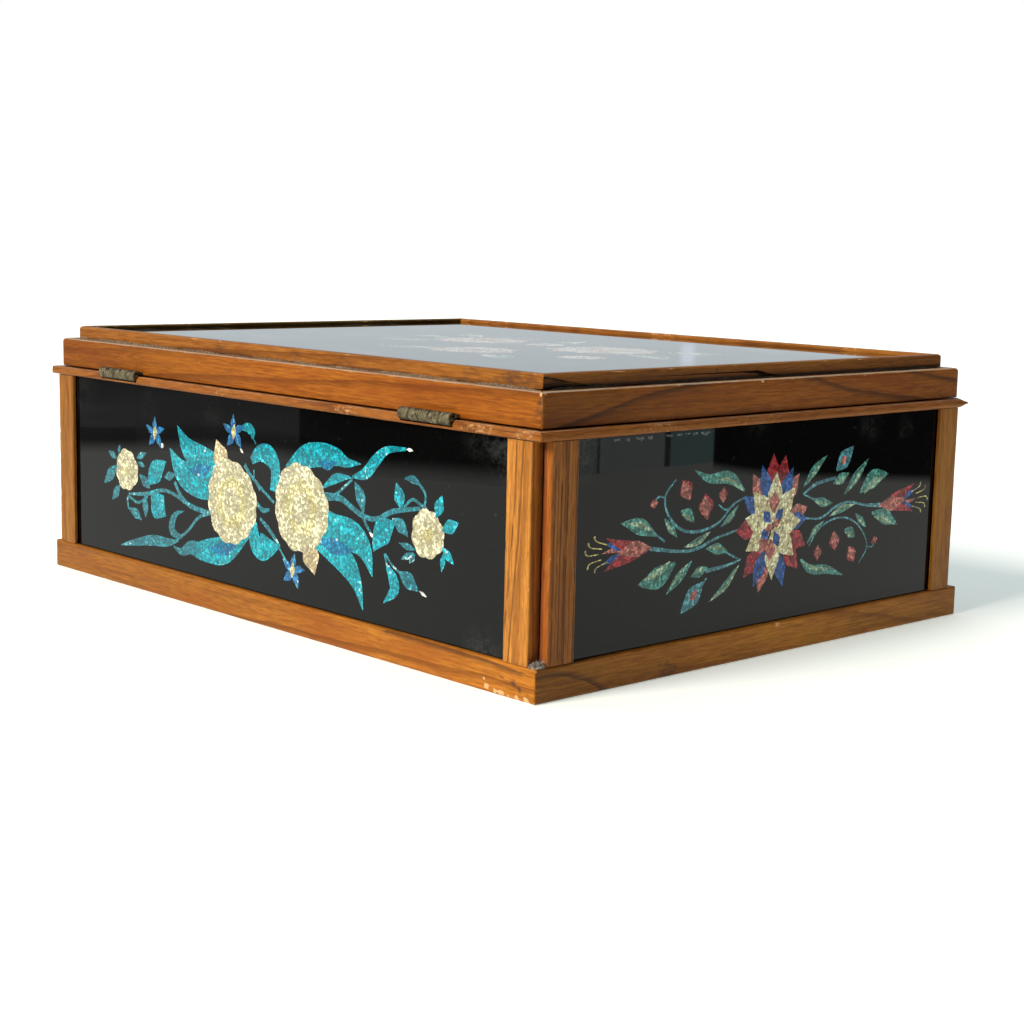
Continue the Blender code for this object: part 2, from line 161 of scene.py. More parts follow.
class TrinketBoxColours(bpy.types.PropertyGroup):
    """Colours of the wood, the metal, the dust, the stage and each foil"""

    lid_wood: colour("Lid wood", "Varnished wood of the lid frame", (0.300, 0.087, 0.0045))
    bead_wood: colour("Bead wood", "Varnished wood of the beads", (0.300, 0.105, 0.0115))
    wall_wood: colour("Wall wood", "Varnished wood of the base", (0.395, 0.136, 0.0100))
    stile_wood: colour("Stile wood", "Varnished wood of the corner stiles", (0.465, 0.180, 0.0235))
    ledge_wood: colour("Ledge wood", "Varnished wood of the thin ledge", (0.268, 0.086, 0.0095))
    board: colour("Board", "Bare board in the bottom and behind the panes", (0.30, 0.19, 0.10))
    grain_line: colour("Grain line", "Late wood and pores", (0.045, 0.018, 0.007))
    bare_wood: colour("Bare wood", "Wood where the varnish is rubbed off", (0.72, 0.42, 0.20))
    # Grime also paints the shade in a stripe under the top edge of the ledge
    grime: colour("Grime", "Dirt in seams and smudges", (0.058, 0.031, 0.019))
    # Dust also paints the highlight along the tops of the lid frame, the ledge and the beads
    dust: colour("Dust", "Pale dust and lint", (0.46, 0.37, 0.265))
    lint: colour("Lint", "Grey lint in the corner notches", (0.56, 0.51, 0.44))
    brass: colour("Brass", "Old brass, dull and olive", (0.135, 0.112, 0.060))
    tarnish: colour("Tarnish", "Old brass where it is dark", (0.034, 0.028, 0.014))
    bare_brass: colour("Bare brass", "Old brass where it is scratched", (0.46, 0.41, 0.28))
    black: colour("Black", "Paint behind the glass", (0.0010, 0.0010, 0.0010))
    film: colour("Film", "Thin grime on the glass", (0.50, 0.55, 0.50))
    scrape: colour("Scrape", "Bare spots at the edge of the paint", (0.15, 0.165, 0.155))
    turquoise: colour("Turquoise foil", "Leaves on the long panes", (0.003, 0.33, 0.41))
    dim_teal: colour("Dim teal foil", "Stems and small leaves on the long panes", (0.020, 0.215, 0.27))
    lagoon: colour("Lagoon foil", "Deeper blue in the large leaves", (0.001, 0.19, 0.36))
    cornflower: colour("Cornflower foil", "Star flowers on the long panes", (0.015, 0.17, 0.40))
    cream: colour("Cream foil", "Large flowers on the long panes", (0.555, 0.51, 0.315))
    butter: colour("Butter foil", "Hearts of the cream flowers", (0.57, 0.51, 0.24))
    tan: colour("Tan foil", "Buds beside the cream flowers", (0.55, 0.44, 0.25))
    glint: colour("Glint foil", "Bare tips of leaves", (0.95, 0.94, 0.90))
    blush: colour("Blush foil", "Edges and hearts of the flowers on the lid", (0.62, 0.48, 0.43))
    pearl: colour("Pearl foil", "Flowers on the lid", (0.66, 0.63, 0.58))
    fog: colour("Fog foil", "Leaves on the lid", (0.36, 0.46, 0.44))
    ruby: colour("Ruby foil", "Red petals on the end panes", (0.34, 0.018, 0.026))
    rose: colour("Rose foil", "Pale red petals and buds", (0.46, 0.145, 0.112))
    sapphire: colour("Sapphire foil", "Blue petals on the end panes", (0.02, 0.10, 0.36))
    ivory: colour("Ivory foil", "Cream petals on the end panes", (0.70, 0.60, 0.32))
    sage: colour("Sage foil", "Leaves on the end panes", (0.068, 0.27, 0.23))
    moss: colour("Moss foil", "Light halves of those leaves", (0.21, 0.35, 0.21))
    mist: colour("Mist foil", "Stems on the end panes", (0.085, 0.30, 0.35))
    straw: colour("Straw foil", "Stamens on the end panes", (0.52, 0.46, 0.14))
    floor: colour("Floor", "Plain pale floor", (0.90, 0.90, 0.89))


def sizes():
    """The sizes as they are set in the scene."""
    return bpy.context.scene.trinket_sizes


def colours():
    """The colours as they are set in the scene."""
    return bpy.context.scene.trinket_colours


def ramp(value, start, end):
    """0 at start, 1 at end, with an even turn between. start may be the larger."""
    share = min(max((value - start) / (end - start), 0.0), 1.0)
    return share * share * (3 - 2 * share)


def rough(point, size, salt=0.0):
    """Smooth noise from -1 to 1, over lengths of about size."""
    return noise.noise(Vector(point) / size + Vector((salt, -1.7 * salt, 2.3 * salt)))


def salt_of(name):
    """A number of its own for each piece, the same in every run."""
    return random.Random(name).uniform(0.0, 90.0)


def side_of(node):
    """The side that a node belongs to. Nodes of no side are seen as part of the first."""
    return next((side for side in SIDES if side in node), SIDES[0])


def turned(side):
    """From a side seen from its front to the frame of the box."""
    return Matrix.Rotation(SIDES.index(side) * math.pi / 2, 4, "Z")


def connect(tree, value, socket):
    """Links a socket to another one, or sets its value. A colour may leave out its fourth part."""
    if isinstance(value, bpy.types.NodeSocket):
        tree.links.new(value, socket)
    elif isinstance(socket.default_value, (int, float)):
        socket.default_value = value
    elif len(value) < len(socket.default_value):
        socket.default_value = (*value, 1.0)
    else:
        socket.default_value = value


def add_node(tree, kind, inputs=(), **settings):
    """Adds a node. Its inputs are given by name or number, as values or as sockets to link."""
    node = tree.nodes.new(kind)
    for key, value in settings.items():
        setattr(node, key, value)
    for key, value in dict(inputs).items():
        connect(tree, value, node.inputs[key])
    return node


def tinted(tint, shares):
    """A colour, each of its three parts multiplied by its share and none above 1."""
    return [min(1.0, value * share) for value, share in zip(tint, shares)]


class Finish:
    """A material while it is made. Its short calls add nodes and link them."""

    def __init__(self, name):
        self.material = bpy.data.materials.new(name)
        self.material.use_nodes = True
        self.tree = self.material.node_tree
        self.surface = self.tree.nodes["Principled BSDF"]

    def node(self, kind, inputs=(), **settings):
        return add_node(self.tree, kind, inputs, **settings)

    def place(self):
        """Where a point lies in the piece's own frame."""
        return self.node("ShaderNodeTexCoord").outputs["Object"]

    def painted(self, name, output="Fac"):
        """A value or colour that the mesh carries at each of its points."""
        return self.node("ShaderNodeAttribute", attribute_name=name).outputs[output]

    def maths(self, operation, first, second=0.0):
        node = self.node("ShaderNodeMath", {0: first, 1: second}, operation=operation)
        return node.outputs[0]

    def plus(self, first, second):
        return self.maths("ADD", first, second)

    def minus(self, first, second):
        return self.maths("SUBTRACT", first, second)

    def times(self, first, second):
        return self.maths("MULTIPLY", first, second)

    def vectors(self, operation, *vectors):
        return self.node("ShaderNodeVectorMath", dict(enumerate(vectors)), operation=operation)

    def noise(self, vector, scale, detail=2.0, output=0):
        inputs = {"Vector": vector, "Scale": scale, "Detail": detail}
        return self.node("ShaderNodeTexNoise", inputs).outputs[output]

    def drawn_out(self, vector, scales, detail=2.0):
        """Noise with a scale of its own along each axis."""
        return self.noise(self.vectors("MULTIPLY", vector, scales).outputs[0], 1.0, detail)

    def ramp(self, value, start, end, low=0.0, high=1.0):
        """low at start, high at end, with an even turn between. start may be the larger."""
        inputs = {0: value, 1: start, 2: end, 3: low, 4: high}
        return self.node("ShaderNodeMapRange", inputs, interpolation_type="SMOOTHSTEP").outputs[0]

    def mix(self, share, first, second, blend="MIX"):
        inputs = {0: share, 6: first, 7: second}
        node = self.node("ShaderNodeMix", inputs, data_type="RGBA", blend_type=blend)
        return node.outputs[2]

    def bump(self, height, distance, strength=1.0):
        inputs = {"Height": height, "Distance": distance, "Strength": strength}
        self.set(Normal=self.node("ShaderNodeBump", inputs).outputs[0])

    def set(self, **values):
        """Sets or links sockets of the surface by name, and gives the material."""
        for key, value in values.items():
            connect(self.tree, value, self.surface.inputs[key.replace("_", " ")])
        return self.material


def wood_finish(name, tint):
    """Open-grained wood under thin varnish: rings, fibres, dashed pores, rubbed edges, dirt and dust,
    times painted light and shade; the dirt also holds painted shade and the dust painted highlights.
    """
    finish = Finish(name)
    paint = colours()
    grain = finish.painted("grain", "Vector")
    rings = finish.painted("ring")
    waver = finish.drawn_out(grain, (45, 330, 330))
    turns = finish.plus(rings, finish.times(finish.minus(waver, 0.5), 0.20))
    inside = finish.maths("FRACT", turns)
    ring = finish.maths("FLOOR", turns)
    weight = finish.node("ShaderNodeTexWhiteNoise", {"W": ring}, noise_dimensions="1D")
    weight = finish.ramp(weight.outputs["Value"], 0.1, 0.95, 0.25, 1.0)
    late = finish.times(finish.ramp(inside, 0.60, 0.94), finish.ramp(inside, 1.0, 0.96))
    late = finish.times(late, weight)
    pore_scale = 1.0 / sizes().pore
    dashes = finish.drawn_out(grain, (0.10 * pore_scale, pore_scale, pore_scale), 1.5)
    shown = finish.ramp(finish.painted("pores"), 0.0, 1.0, 0.22, 0.36)
    open_pores = finish.times(finish.ramp(dashes, 0.58, 0.67), shown)
    chain = finish.drawn_out(grain, (110, 550, 550), 1.0)
    away = finish.plus(finish.painted("vein"), finish.times(chain, 0.5))
    away = finish.minus(away, 0.25)
    fading = finish.minus(2.6, finish.times(finish.painted("pores"), 2.0))
    veins = finish.ramp(finish.maths("DIVIDE", away, fading), -1.0, -0.05)
    veins = finish.times(finish.maths("POWER", veins, 1.8), finish.ramp(away, 0.50, 0.10))
    whole = finish.minus(1.0, finish.painted("pores"))
    chain = finish.maths("MINIMUM", finish.plus(finish.ramp(chain, 0.32, 0.46), whole), 1.0)
    veins = finish.times(veins, chain)

    streaks = finish.drawn_out(grain, (30, 1500, 1500), 3.0)
    fibres = finish.drawn_out(grain, (180, 2300, 2300), 3.0)
    clouds = finish.drawn_out(grain, (22, 110, 110), 3.0)
    pale = tinted(tint, (1.30, 1.37, 1.90))
    dim = tinted(tint, (0.66, 0.59, 0.50))
    red = tinted(tint, (0.74, 0.54, 0.58))
    gold = tinted(tint, (1.10, 1.22, 0.95))
    threads = finish.plus(finish.times(streaks, 0.45), finish.times(fibres, 0.55))
    hue = finish.mix(finish.ramp(threads, 0.31, 0.69), dim, pale)
    hue = finish.mix(finish.ramp(clouds, 0.50, 0.80, 0.0, 0.75), hue, red)
    hue = finish.mix(finish.ramp(clouds, 0.46, 0.25, 0.0, 0.55), hue, gold)
    line = tinted(tint, (0.36, 0.28, 0.30))
    hue = finish.mix(finish.times(late, 0.60), hue, line)
    hue = finish.mix(finish.times(open_pores, 0.85), hue, paint.grain_line)
    hue = finish.mix(finish.times(veins, 0.66), hue, paint.grain_line)
    # Painted light and shade: the colour is multiplied by the tone each point carries
    hue = finish.mix(1.0, hue, finish.painted("tone", "Color"), "MULTIPLY")

    speckle = finish.drawn_out(grain, (900, 1500, 1500), 3.0)
    rubbed = finish.plus(finish.painted("wear"), finish.times(speckle, 0.7))
    rubbed = finish.ramp(rubbed, 0.72, 1.06)
    hue = finish.mix(finish.times(rubbed, 0.9), hue, paint.bare_wood)
    smudge = finish.drawn_out(grain, (260, 800, 800), 4.0)
    # Dirt, and on the ledge a stripe of painted shade
    dirt_and_shade = finish.plus(finish.painted("dirt"), finish.times(smudge, 0.9))
    dirt_and_shade = finish.ramp(dirt_and_shade, 0.62, 1.25)
    hue = finish.mix(finish.times(dirt_and_shade, 0.9), hue, paint.grime)
    # Dust, and on the tops of the lid frame, the ledge and the beads a painted highlight
    dust_and_highlight = finish.plus(finish.painted("dust"), finish.times(smudge, 0.8))
    dust_and_highlight = finish.ramp(dust_and_highlight, 0.62, 1.15)
    hue = finish.mix(finish.times(dust_and_highlight, 0.8), hue, paint.dust)

    gloss = finish.ramp(streaks, 0.2, 0.8, 0.36, 0.52)
    gloss = finish.plus(gloss, finish.times(rubbed, 0.2))
    gloss = finish.plus(gloss, finish.times(dust_and_highlight, 0.4))
    height = finish.minus(finish.times(threads, 0.45), open_pores)
    finish.bump(height, 0.06 * MM, 0.9)
    return finish.set(Base_Color=hue, Roughness=gloss, Specular_IOR_Level=0.13)


def board_finish(name, across):
    """Plain thin board, its grain along the box, or across it in the two ends."""
    finish = Finish(name)
    paint = colours()
    place = finish.place()
    streaks = finish.drawn_out(place, (500, 18, 500) if across else (18, 500, 500), 4.0)
    clouds = finish.drawn_out(place, (45, 20, 45) if across else (20, 45, 45), 3.0)
    deep = [value * 0.55 for value in paint.board]
    hue = finish.mix(finish.ramp(streaks, 0.3, 0.7), paint.board, deep)
    hue = finish.mix(finish.ramp(clouds, 0.5, 0.8, 0.0, 0.6), hue, paint.dust)
    finish.bump(streaks, 0.05 * MM, 0.7)
    return finish.set(Base_Color=hue, Roughness=finish.ramp(clouds, 0.2, 0.8, 0.62, 0.82))


def brass_finish():
    """Old brass: dull and olive, darker in patches, brighter where hands touch it."""
    finish = Finish("aged_brass")
    paint = colours()
    place = finish.place()
    patches = finish.noise(place, 620.0, 4.0)
    scratches = finish.drawn_out(place, (3200, 520, 520), 3.0)
    bright = finish.plus(patches, finish.times(finish.painted("wear"), 0.16))
    hue = finish.mix(finish.ramp(bright, 0.42, 0.70), paint.tarnish, paint.brass)
    hue = finish.mix(finish.ramp(scratches, 0.42, 0.28, 0.0, 0.8), hue, paint.tarnish)
    hue = finish.mix(finish.ramp(scratches, 0.55, 0.70, 0.0, 0.85), hue, paint.bare_brass)
    hue = finish.mix(finish.ramp(finish.painted("dirt"), 0.2, 0.9, 0.0, 0.95), hue, paint.grime)
    finish.bump(finish.plus(patches, scratches), 0.07 * MM, 0.8)
    gloss = finish.ramp(patches, 0.3, 0.75, 0.72, 0.52)
    return finish.set(Base_Color=hue, Roughness=gloss, Metallic=0.45, Specular_IOR_Level=0.25)


def dust_finish(name, pale):
    """Dull dust or lint, speckled with a deeper shade of its own."""
    finish = Finish(name)
    speckle = finish.noise(finish.place(), 1600.0, 3.0)
    deep = [value * 0.35 for value in pale]
    hue = finish.mix(finish.ramp(speckle, 0.42, 0.66), deep, pale)
    finish.bump(speckle, 0.2 * MM)
    return finish.set(Base_Color=hue, Roughness=0.95, Specular_IOR_Level=0.1)


def under_glass(finish):
    """The glass over a paint or a foil: a smooth clear coat."""
    return finish.set(Coat_Weight=0.47, Coat_Roughness=0.02, Coat_IOR=1.5)


# A smudge on the glass: its place and how far it reaches, in millimetres, and how dense it is
Smudge = namedtuple("Smudge", "place reach strength")
SMUDGES = (
    Smudge((114, -96, 69), 15, 0.60),
    Smudge((104, -96, 71), 12, 0.35),
    Smudge((-110, -96, 66), 14, 0.14),
    Smudge((-66, -96, 64), 9, 0.12),
    Smudge((-28, -96, 65), 9, 0.12),
    Smudge((104, -96, 10), 10, 0.42),
    Smudge((126, 47, 67), 8, 0.35),
    Smudge((126, 66, 65), 6, 0.22),
    Smudge((126, -81, 67), 12, 0.60),
    Smudge((126, -8, 70), 8, 0.18),
)


def smudged(finish, place):
    """How much of the glass is covered by the smudges at a place."""
    fine = finish.noise(place, 950.0, 5.0)
    soft = finish.noise(place, 190.0, 3.0)
    covered = 0.0
    for smudge in SMUDGES:
        middle = [part * MM for part in smudge.place]
        away = finish.vectors("DISTANCE", place, middle).outputs["Value"]
        share = finish.ramp(away, smudge.reach * MM, 0.15 * smudge.reach * MM, 0.0, smudge.strength)
        covered = finish.maths("MAXIMUM", covered, share)
    ragged = finish.plus(finish.times(fine, 0.6), finish.times(soft, 0.5))
    return finish.times(covered, finish.ramp(ragged, 0.40, 0.78))


def black_finish():
    """Black paint behind the glass, with specks and smudges of thin grime on the glass."""
    finish = Finish("black_paint")
    paint = colours()
    place = finish.place()
    film = finish.ramp(finish.noise(place, 520.0, 5.0), 0.62, 0.9)
    specks = finish.ramp(finish.noise(place, 1100.0, 2.0), 0.73, 0.78)
    film = finish.plus(finish.times(film, 0.05), finish.times(specks, 0.05))
    film = finish.plus(film, finish.times(smudged(finish, place), 0.10))
    hue = finish.mix(film, paint.black, paint.film)
    finish.set(Base_Color=hue, Roughness=0.55, Specular_IOR_Level=0.0)
    return under_glass(finish)


def lid_black_finish():
    """Black paint behind the glass of the lid, under broad patches of dusty film."""
    finish = Finish("lid_black_paint")
    paint = colours()
    place = finish.place()
    patches = finish.drawn_out(place, (26, 40, 40), 4.0)
    wiped = finish.drawn_out(place, (60, 150, 150), 3.0)
    film = finish.plus(finish.times(patches, 0.6), finish.times(wiped, 0.4))
    film = finish.ramp(film, 0.50, 0.66, 0.0, 0.13)
    hue = finish.mix(film, paint.black, (0.80, 0.80, 0.80))
    finish.set(Base_Color=hue, Roughness=0.55, Specular_IOR_Level=0.0)
    return finish.set(Coat_Weight=1.0, Coat_Roughness=0.02, Coat_IOR=1.36)


def scrape_finish():
    """Bare spots at the edge of the paint, where the backing shows."""
    finish = Finish("scrape")
    hue = colours().scrape
    blotches = finish.noise(finish.place(), 900.0, 3.0)
    hue = finish.mix(finish.ramp(blotches, 0.40, 0.66), [value * 0.25 for value in hue], hue)
    finish.set(Base_Color=hue, Roughness=0.6, Specular_IOR_Level=0.0)
    return under_glass(finish)


# The foils on the long panes, on the lid and on the end panes
LONG_FOILS = ("turquoise", "dim_teal", "lagoon", "cornflower", "cream", "butter", "tan", "glint")
LID_FOILS = ("blush", "pearl", "fog")
END_FOILS = ("ruby", "rose", "sapphire", "ivory", "sage", "moss", "mist", "straw")

# The foils in which a few facets are painted nearly white: painted glints
PAINTED_GLINT_FOILS = ("turquoise", "dim_teal", "lagoon", "cornflower")


def foil_finish(name):
    """Crinkled foil under the glass: flat facets, each with its own tilt and a painted brightness, with
    painted shade in the creases and painted glints.
    """
    finish = Finish(name + "_foil")
    tint = getattr(colours(), name)
    place = finish.place()
    bend = finish.noise(place, 420.0, 2.0, "Color")
    warped = finish.vectors("MULTIPLY_ADD", bend, (0.9 * MM,) * 3, place)
    scale = 1.0 / sizes().facet
    cells = finish.node("ShaderNodeTexVoronoi", {"Vector": warped.outputs[0], "Scale": scale})
    painted_crease_shade = finish.ramp(cells.outputs["Distance"], 0.34, 0.66, 0.0, 0.75)
    tilt = finish.vectors("MULTIPLY_ADD", cells.outputs["Color"], (0.7,) * 3, (-0.35,) * 3)
    flat = finish.node("ShaderNodeNewGeometry").outputs["Normal"]
    leaning = finish.vectors("ADD", flat, tilt.outputs[0])
    leaning = finish.vectors("NORMALIZE", leaning.outputs[0])
    # Each facet's painted brightness: its own random shade and a slow swell
    shade = finish.node("ShaderNodeSeparateColor", {0: cells.outputs["Color"]}).outputs[0]
    swell = finish.noise(place, 170.0, 2.0)
    shade = finish.plus(finish.times(shade, 0.7), finish.times(swell, 0.6))
    light = min(tint) > 0.2
    pale = [min(0.96, 1.5 * value + (0.13 if light else 0.01)) for value in tint]
    deep = [value * (0.52 if light else 0.40) for value in tint]
    rich = [value ** (1.15 if light else 1.4) for value in tint]
    pool = finish.ramp(finish.noise(place, 110.0, 2.0), 0.48, 0.66, 0.0, 0.85)
    hue = finish.mix(pool, tint, rich)
    # Painted shade on darker facets and in the creases, painted highlights on lighter facets
    hue = finish.mix(finish.ramp(shade, 0.56, 0.26, 0.0, 0.9), hue, deep)
    hue = finish.mix(painted_crease_shade, hue, deep)
    hue = finish.mix(finish.ramp(shade, 0.74, 0.94), hue, pale)
    # Painted glints: a few facets painted nearly white
    if name in PAINTED_GLINT_FOILS:
        hue = finish.mix(finish.ramp(shade, 1.00, 1.09, 0.0, 0.75), hue, (0.70, 0.86, 0.87))
    finish.set(Base_Color=hue, Metallic=0.2, Roughness=0.36, Normal=leaning.outputs[0])
    finish.set(Specular_IOR_Level=0.2 if light else 0.06)
    return under_glass(finish)


def floor_finish():
    """A plain pale floor that glows a little, so that the box throws only a faint shadow."""
    finish = Finish("pale_floor")
    cast = finish.noise(finish.place(), 3.0, 2.0)
    tone = colours().floor
    hue = finish.mix(finish.ramp(cast, 0.3, 0.7), tone, [value * 0.985 for value in tone])
    finish.set(Emission_Color=(0.29, 0.34, 0.32), Emission_Strength=1.0)
    return finish.set(Base_Color=hue, Roughness=0.8, Specular_IOR_Level=0.1)


def corners(bm):
    """Lowest and highest corner of a mesh."""
    places = [vert.co for vert in bm.verts]
    low = Vector([min(place[axis] for place in places) for axis in range(3)])
    high = Vector([max(place[axis] for place in places) for axis in range(3)])
    return low, high


def whole_faces(node):
    """A node's solid with its flat faces made whole again, seen from the front of its side."""
    bm = bmesh.new()
    bm.from_mesh(frame["nodes"][node].data)
    bmesh.ops.remove_doubles(bm, verts=bm.verts, dist=WELD)
    bmesh.ops.dissolve_limit(bm, angle_limit=FLAT_ANGLE, verts=bm.verts, edges=bm.edges)
    bm.transform(turned(side_of(node)).inverted())
    return bm


def slice_up(bm, cells, rims=((), (), ())):
    """Cuts a solid into cells of about that size along each axis, with extra cuts near its ends."""
    low, high = corners(bm)
    for axis, cell in enumerate(cells):
        start, end = low[axis], high[axis]
        inset = max(rims[axis], default=0.0)
        reach = end - start - 2 * inset
        count = max(1, math.ceil(reach / cell))
        places = [start + inset + reach * step / count for step in range(count + 1)]
        for rim in rims[axis]:
            places += [start + rim, end - rim]
        normal = Vector((0.0, 0.0, 0.0))
        normal[axis] = 1.0
        for place in sorted(set(places)):
            if start < place < end:
                bmesh.ops.bisect_plane(
                    bm,
                    geom=bm.verts[:] + bm.edges[:] + bm.faces[:],
                    dist=WELD,
                    plane_co=normal * place,
                    plane_no=normal,
                )


def add_piece(name, bm, materials, body, replaced=()):
    """Makes a piece of a mesh that is in the frame of the box, and lets it ride on its body."""
    mesh = bpy.data.meshes.new(name)
    bm.to_mesh(mesh)
    bm.free()
    for material in materials:
        mesh.materials.append(material)
    mesh.shade_smooth()
    mesh.set_sharp_from_angle(angle=SHARP_ANGLE)
    piece = bpy.data.objects.new(name, mesh)
    bpy.context.scene.collection.objects.link(piece)
    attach(piece, body)
    if replaced:
        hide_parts(*replaced)


def join_rings(bm, rings):
    """Skins over rings of equally many points, and closes both ends."""
    count = len(rings[0])
    for lower, upper in zip(rings, rings[1:]):
        for index in range(count):
            after = (index + 1) % count
            bm.faces.new((lower[index], lower[after], upper[after], upper[index]))
    bm.faces.new(rings[0][::-1])
    bm.faces.new(rings[-1])


# How a strip is sawn out of its log, in millimetres: width of a ring, where the heart of the
# log lies in from the front and up from the bottom of the strip, how far the heart drifts
# in and up for each metre along, and how the rings rise to a crown at a place along it
Cut = namedtuple("Cut", "ring heart_in heart_up drift_in drift_up crown crown_at sway")
CUTS = {
    "base_rail_hinge_side": Cut(3.4, 60, -30, 20, 10, 0.10, 60, 0.5),
    "base_rail_right_end": Cut(4.6, 44, -8, 20, 6, 0.85, -62, 0.5),
    "lid_rail_hinge_side": Cut(4.2, 50, -26, 40, 16, 0.0, 0, 0.5),
    "lid_rail_right_end": Cut(5.48, 60, -16, 0, 0, 1.5, -8, 0.2),
    "bead_hinge_side": Cut(2.6, 30, -18, 30, 10, 0.0, 0, 0.4),
    "stile_hinge_side_right": Cut(4.2, -52, 30, 30, 0, 0.0, 0, 0.7),
}

# How strongly the pores of a strip show
PORES = {"stile_right_end_hinge": 1.0, "stile_hinge_side_right": 0.80}
FAINT_PORES = 0.12

# Dark lines of late wood on single strips, each a row of points along and up, in millimetres.
# A line fades out on one side only, so the order of its points says on which
VEINS = {
    "lid_rail_right_end": (
        ((-90, 73.6), (-83, 74.9), (-72, 77.1), (-59, 80.3), (-38, 83.0), (-30, 83.8)),
        ((14, 83.8), (36, 78.6), (55, 76.2), (71, 74.4), (80, 73.2)),
        ((66, 83.6), (76, 81.9), (96, 79.0)),
    ),
    "base_rail_right_end": (
        (
            (-71, -0.4), (-75.2, 2.4), (-78.6, 4.0), (-81.9, 5.2),
            (-85.2, 6.3), (-88.7, 6.9), (-93, 7.2), (-97.4, 7.1),
        ),
    ),
    "base_rail_hinge_side": (((64, 9.3), (88, 9.2), (104, 8.9), (121, 7.9)),),
    "stile_hinge_side_right": (
        ((120.6, 71), (119.9, 54.4), (119.0, 42.2), (116.4, 13.8), (116.0, 9)),
        ((114.6, 20), (115.9, 34), (117.4, 52), (117.8, 71)),
    ),
    "stile_right_end_hinge": [
        ((along + 0.2, 71), (along, 9)) for along in (-92.3, -89.8, -87.6, -84.2)
    ],
}

# Painted light: how much lighter or darker a strip is painted at its left end, in the middle and at its
# right end, where the light falls off along the box and on a side in shade
PAINTED_LIGHT_ALONG = {
    "base_rail_hinge_side": (0.64, 0.80, 1.06),
    "base_rail_right_end": (0.54, 1.22, 0.90),
    "lid_rail_hinge_side": (0.72, 1.02, 1.0),
    "lid_rail_right_end": (0.60, 0.96, 0.84),
    "bead_right_end": (0.80, 0.86, 0.84),
    "stile_hinge_side_left": (0.58, 0.58, 0.58),
    "stile_right_end_hinge": (0.66, 0.62, 0.62),
    "stile_right_end_opening": (0.68, 0.68, 0.66),
}

# Painted shade: what the colour of the right end, the left end or a single strip on them is multiplied by,
# a tint of the shade those sides stand in
PAINTED_SHADE_TINT = {
    "right_end": Vector((0.97, 0.98, 0.92)),
    "left_end": Vector((0.60, 0.92, 1.1)),
    "base_rail_right_end": Vector((0.95, 1.0, 1.15)),
    "stile_right_end_hinge": Vector((1.02, 0.92, 0.95)),
}

# How far the upright corners of each kind of strip are rounded, in millimetres
ROUNDED = {"base_rail": 0.5, "ledge": 0.7, "lid_rail": 0.8, "bead": 0.9}

# The worn corners of the lid: the end of the strip, and how far it is rounded there
WORN_CORNER = {
    "bead_hinge_side": ("left", 2.0),
    "bead_left_end": ("right", 2.0),
    "lid_rail_hinge_side": ("left", 1.6),
    "lid_rail_left_end": ("right", 1.6),
    "bead_right_end": ("right", 1.3),
    "bead_opening_side": ("left", 1.3),
    "lid_rail_right_end": ("right", 1.3),
    "lid_rail_opening_side": ("left", 1.3),
}

# The ends of the ledge that are worn to a point, and how far the wear reaches, in millimetres
WORN_TIP = {"ledge_right_end": "right", "ledge_opening_side": "left"}
TIP_REACH = 5

# Which edges of a strip are rubbed and how hard, its finish, and whether its grain runs upright
Strip = namedtuple("Strip", "edges wood upright")

# Extra cuts near the ends and the front of a strip, where its corners are rounded
END_CUTS = (0.9 * MM, 1.6 * MM)
FRONT_CUT = 0.9 * MM

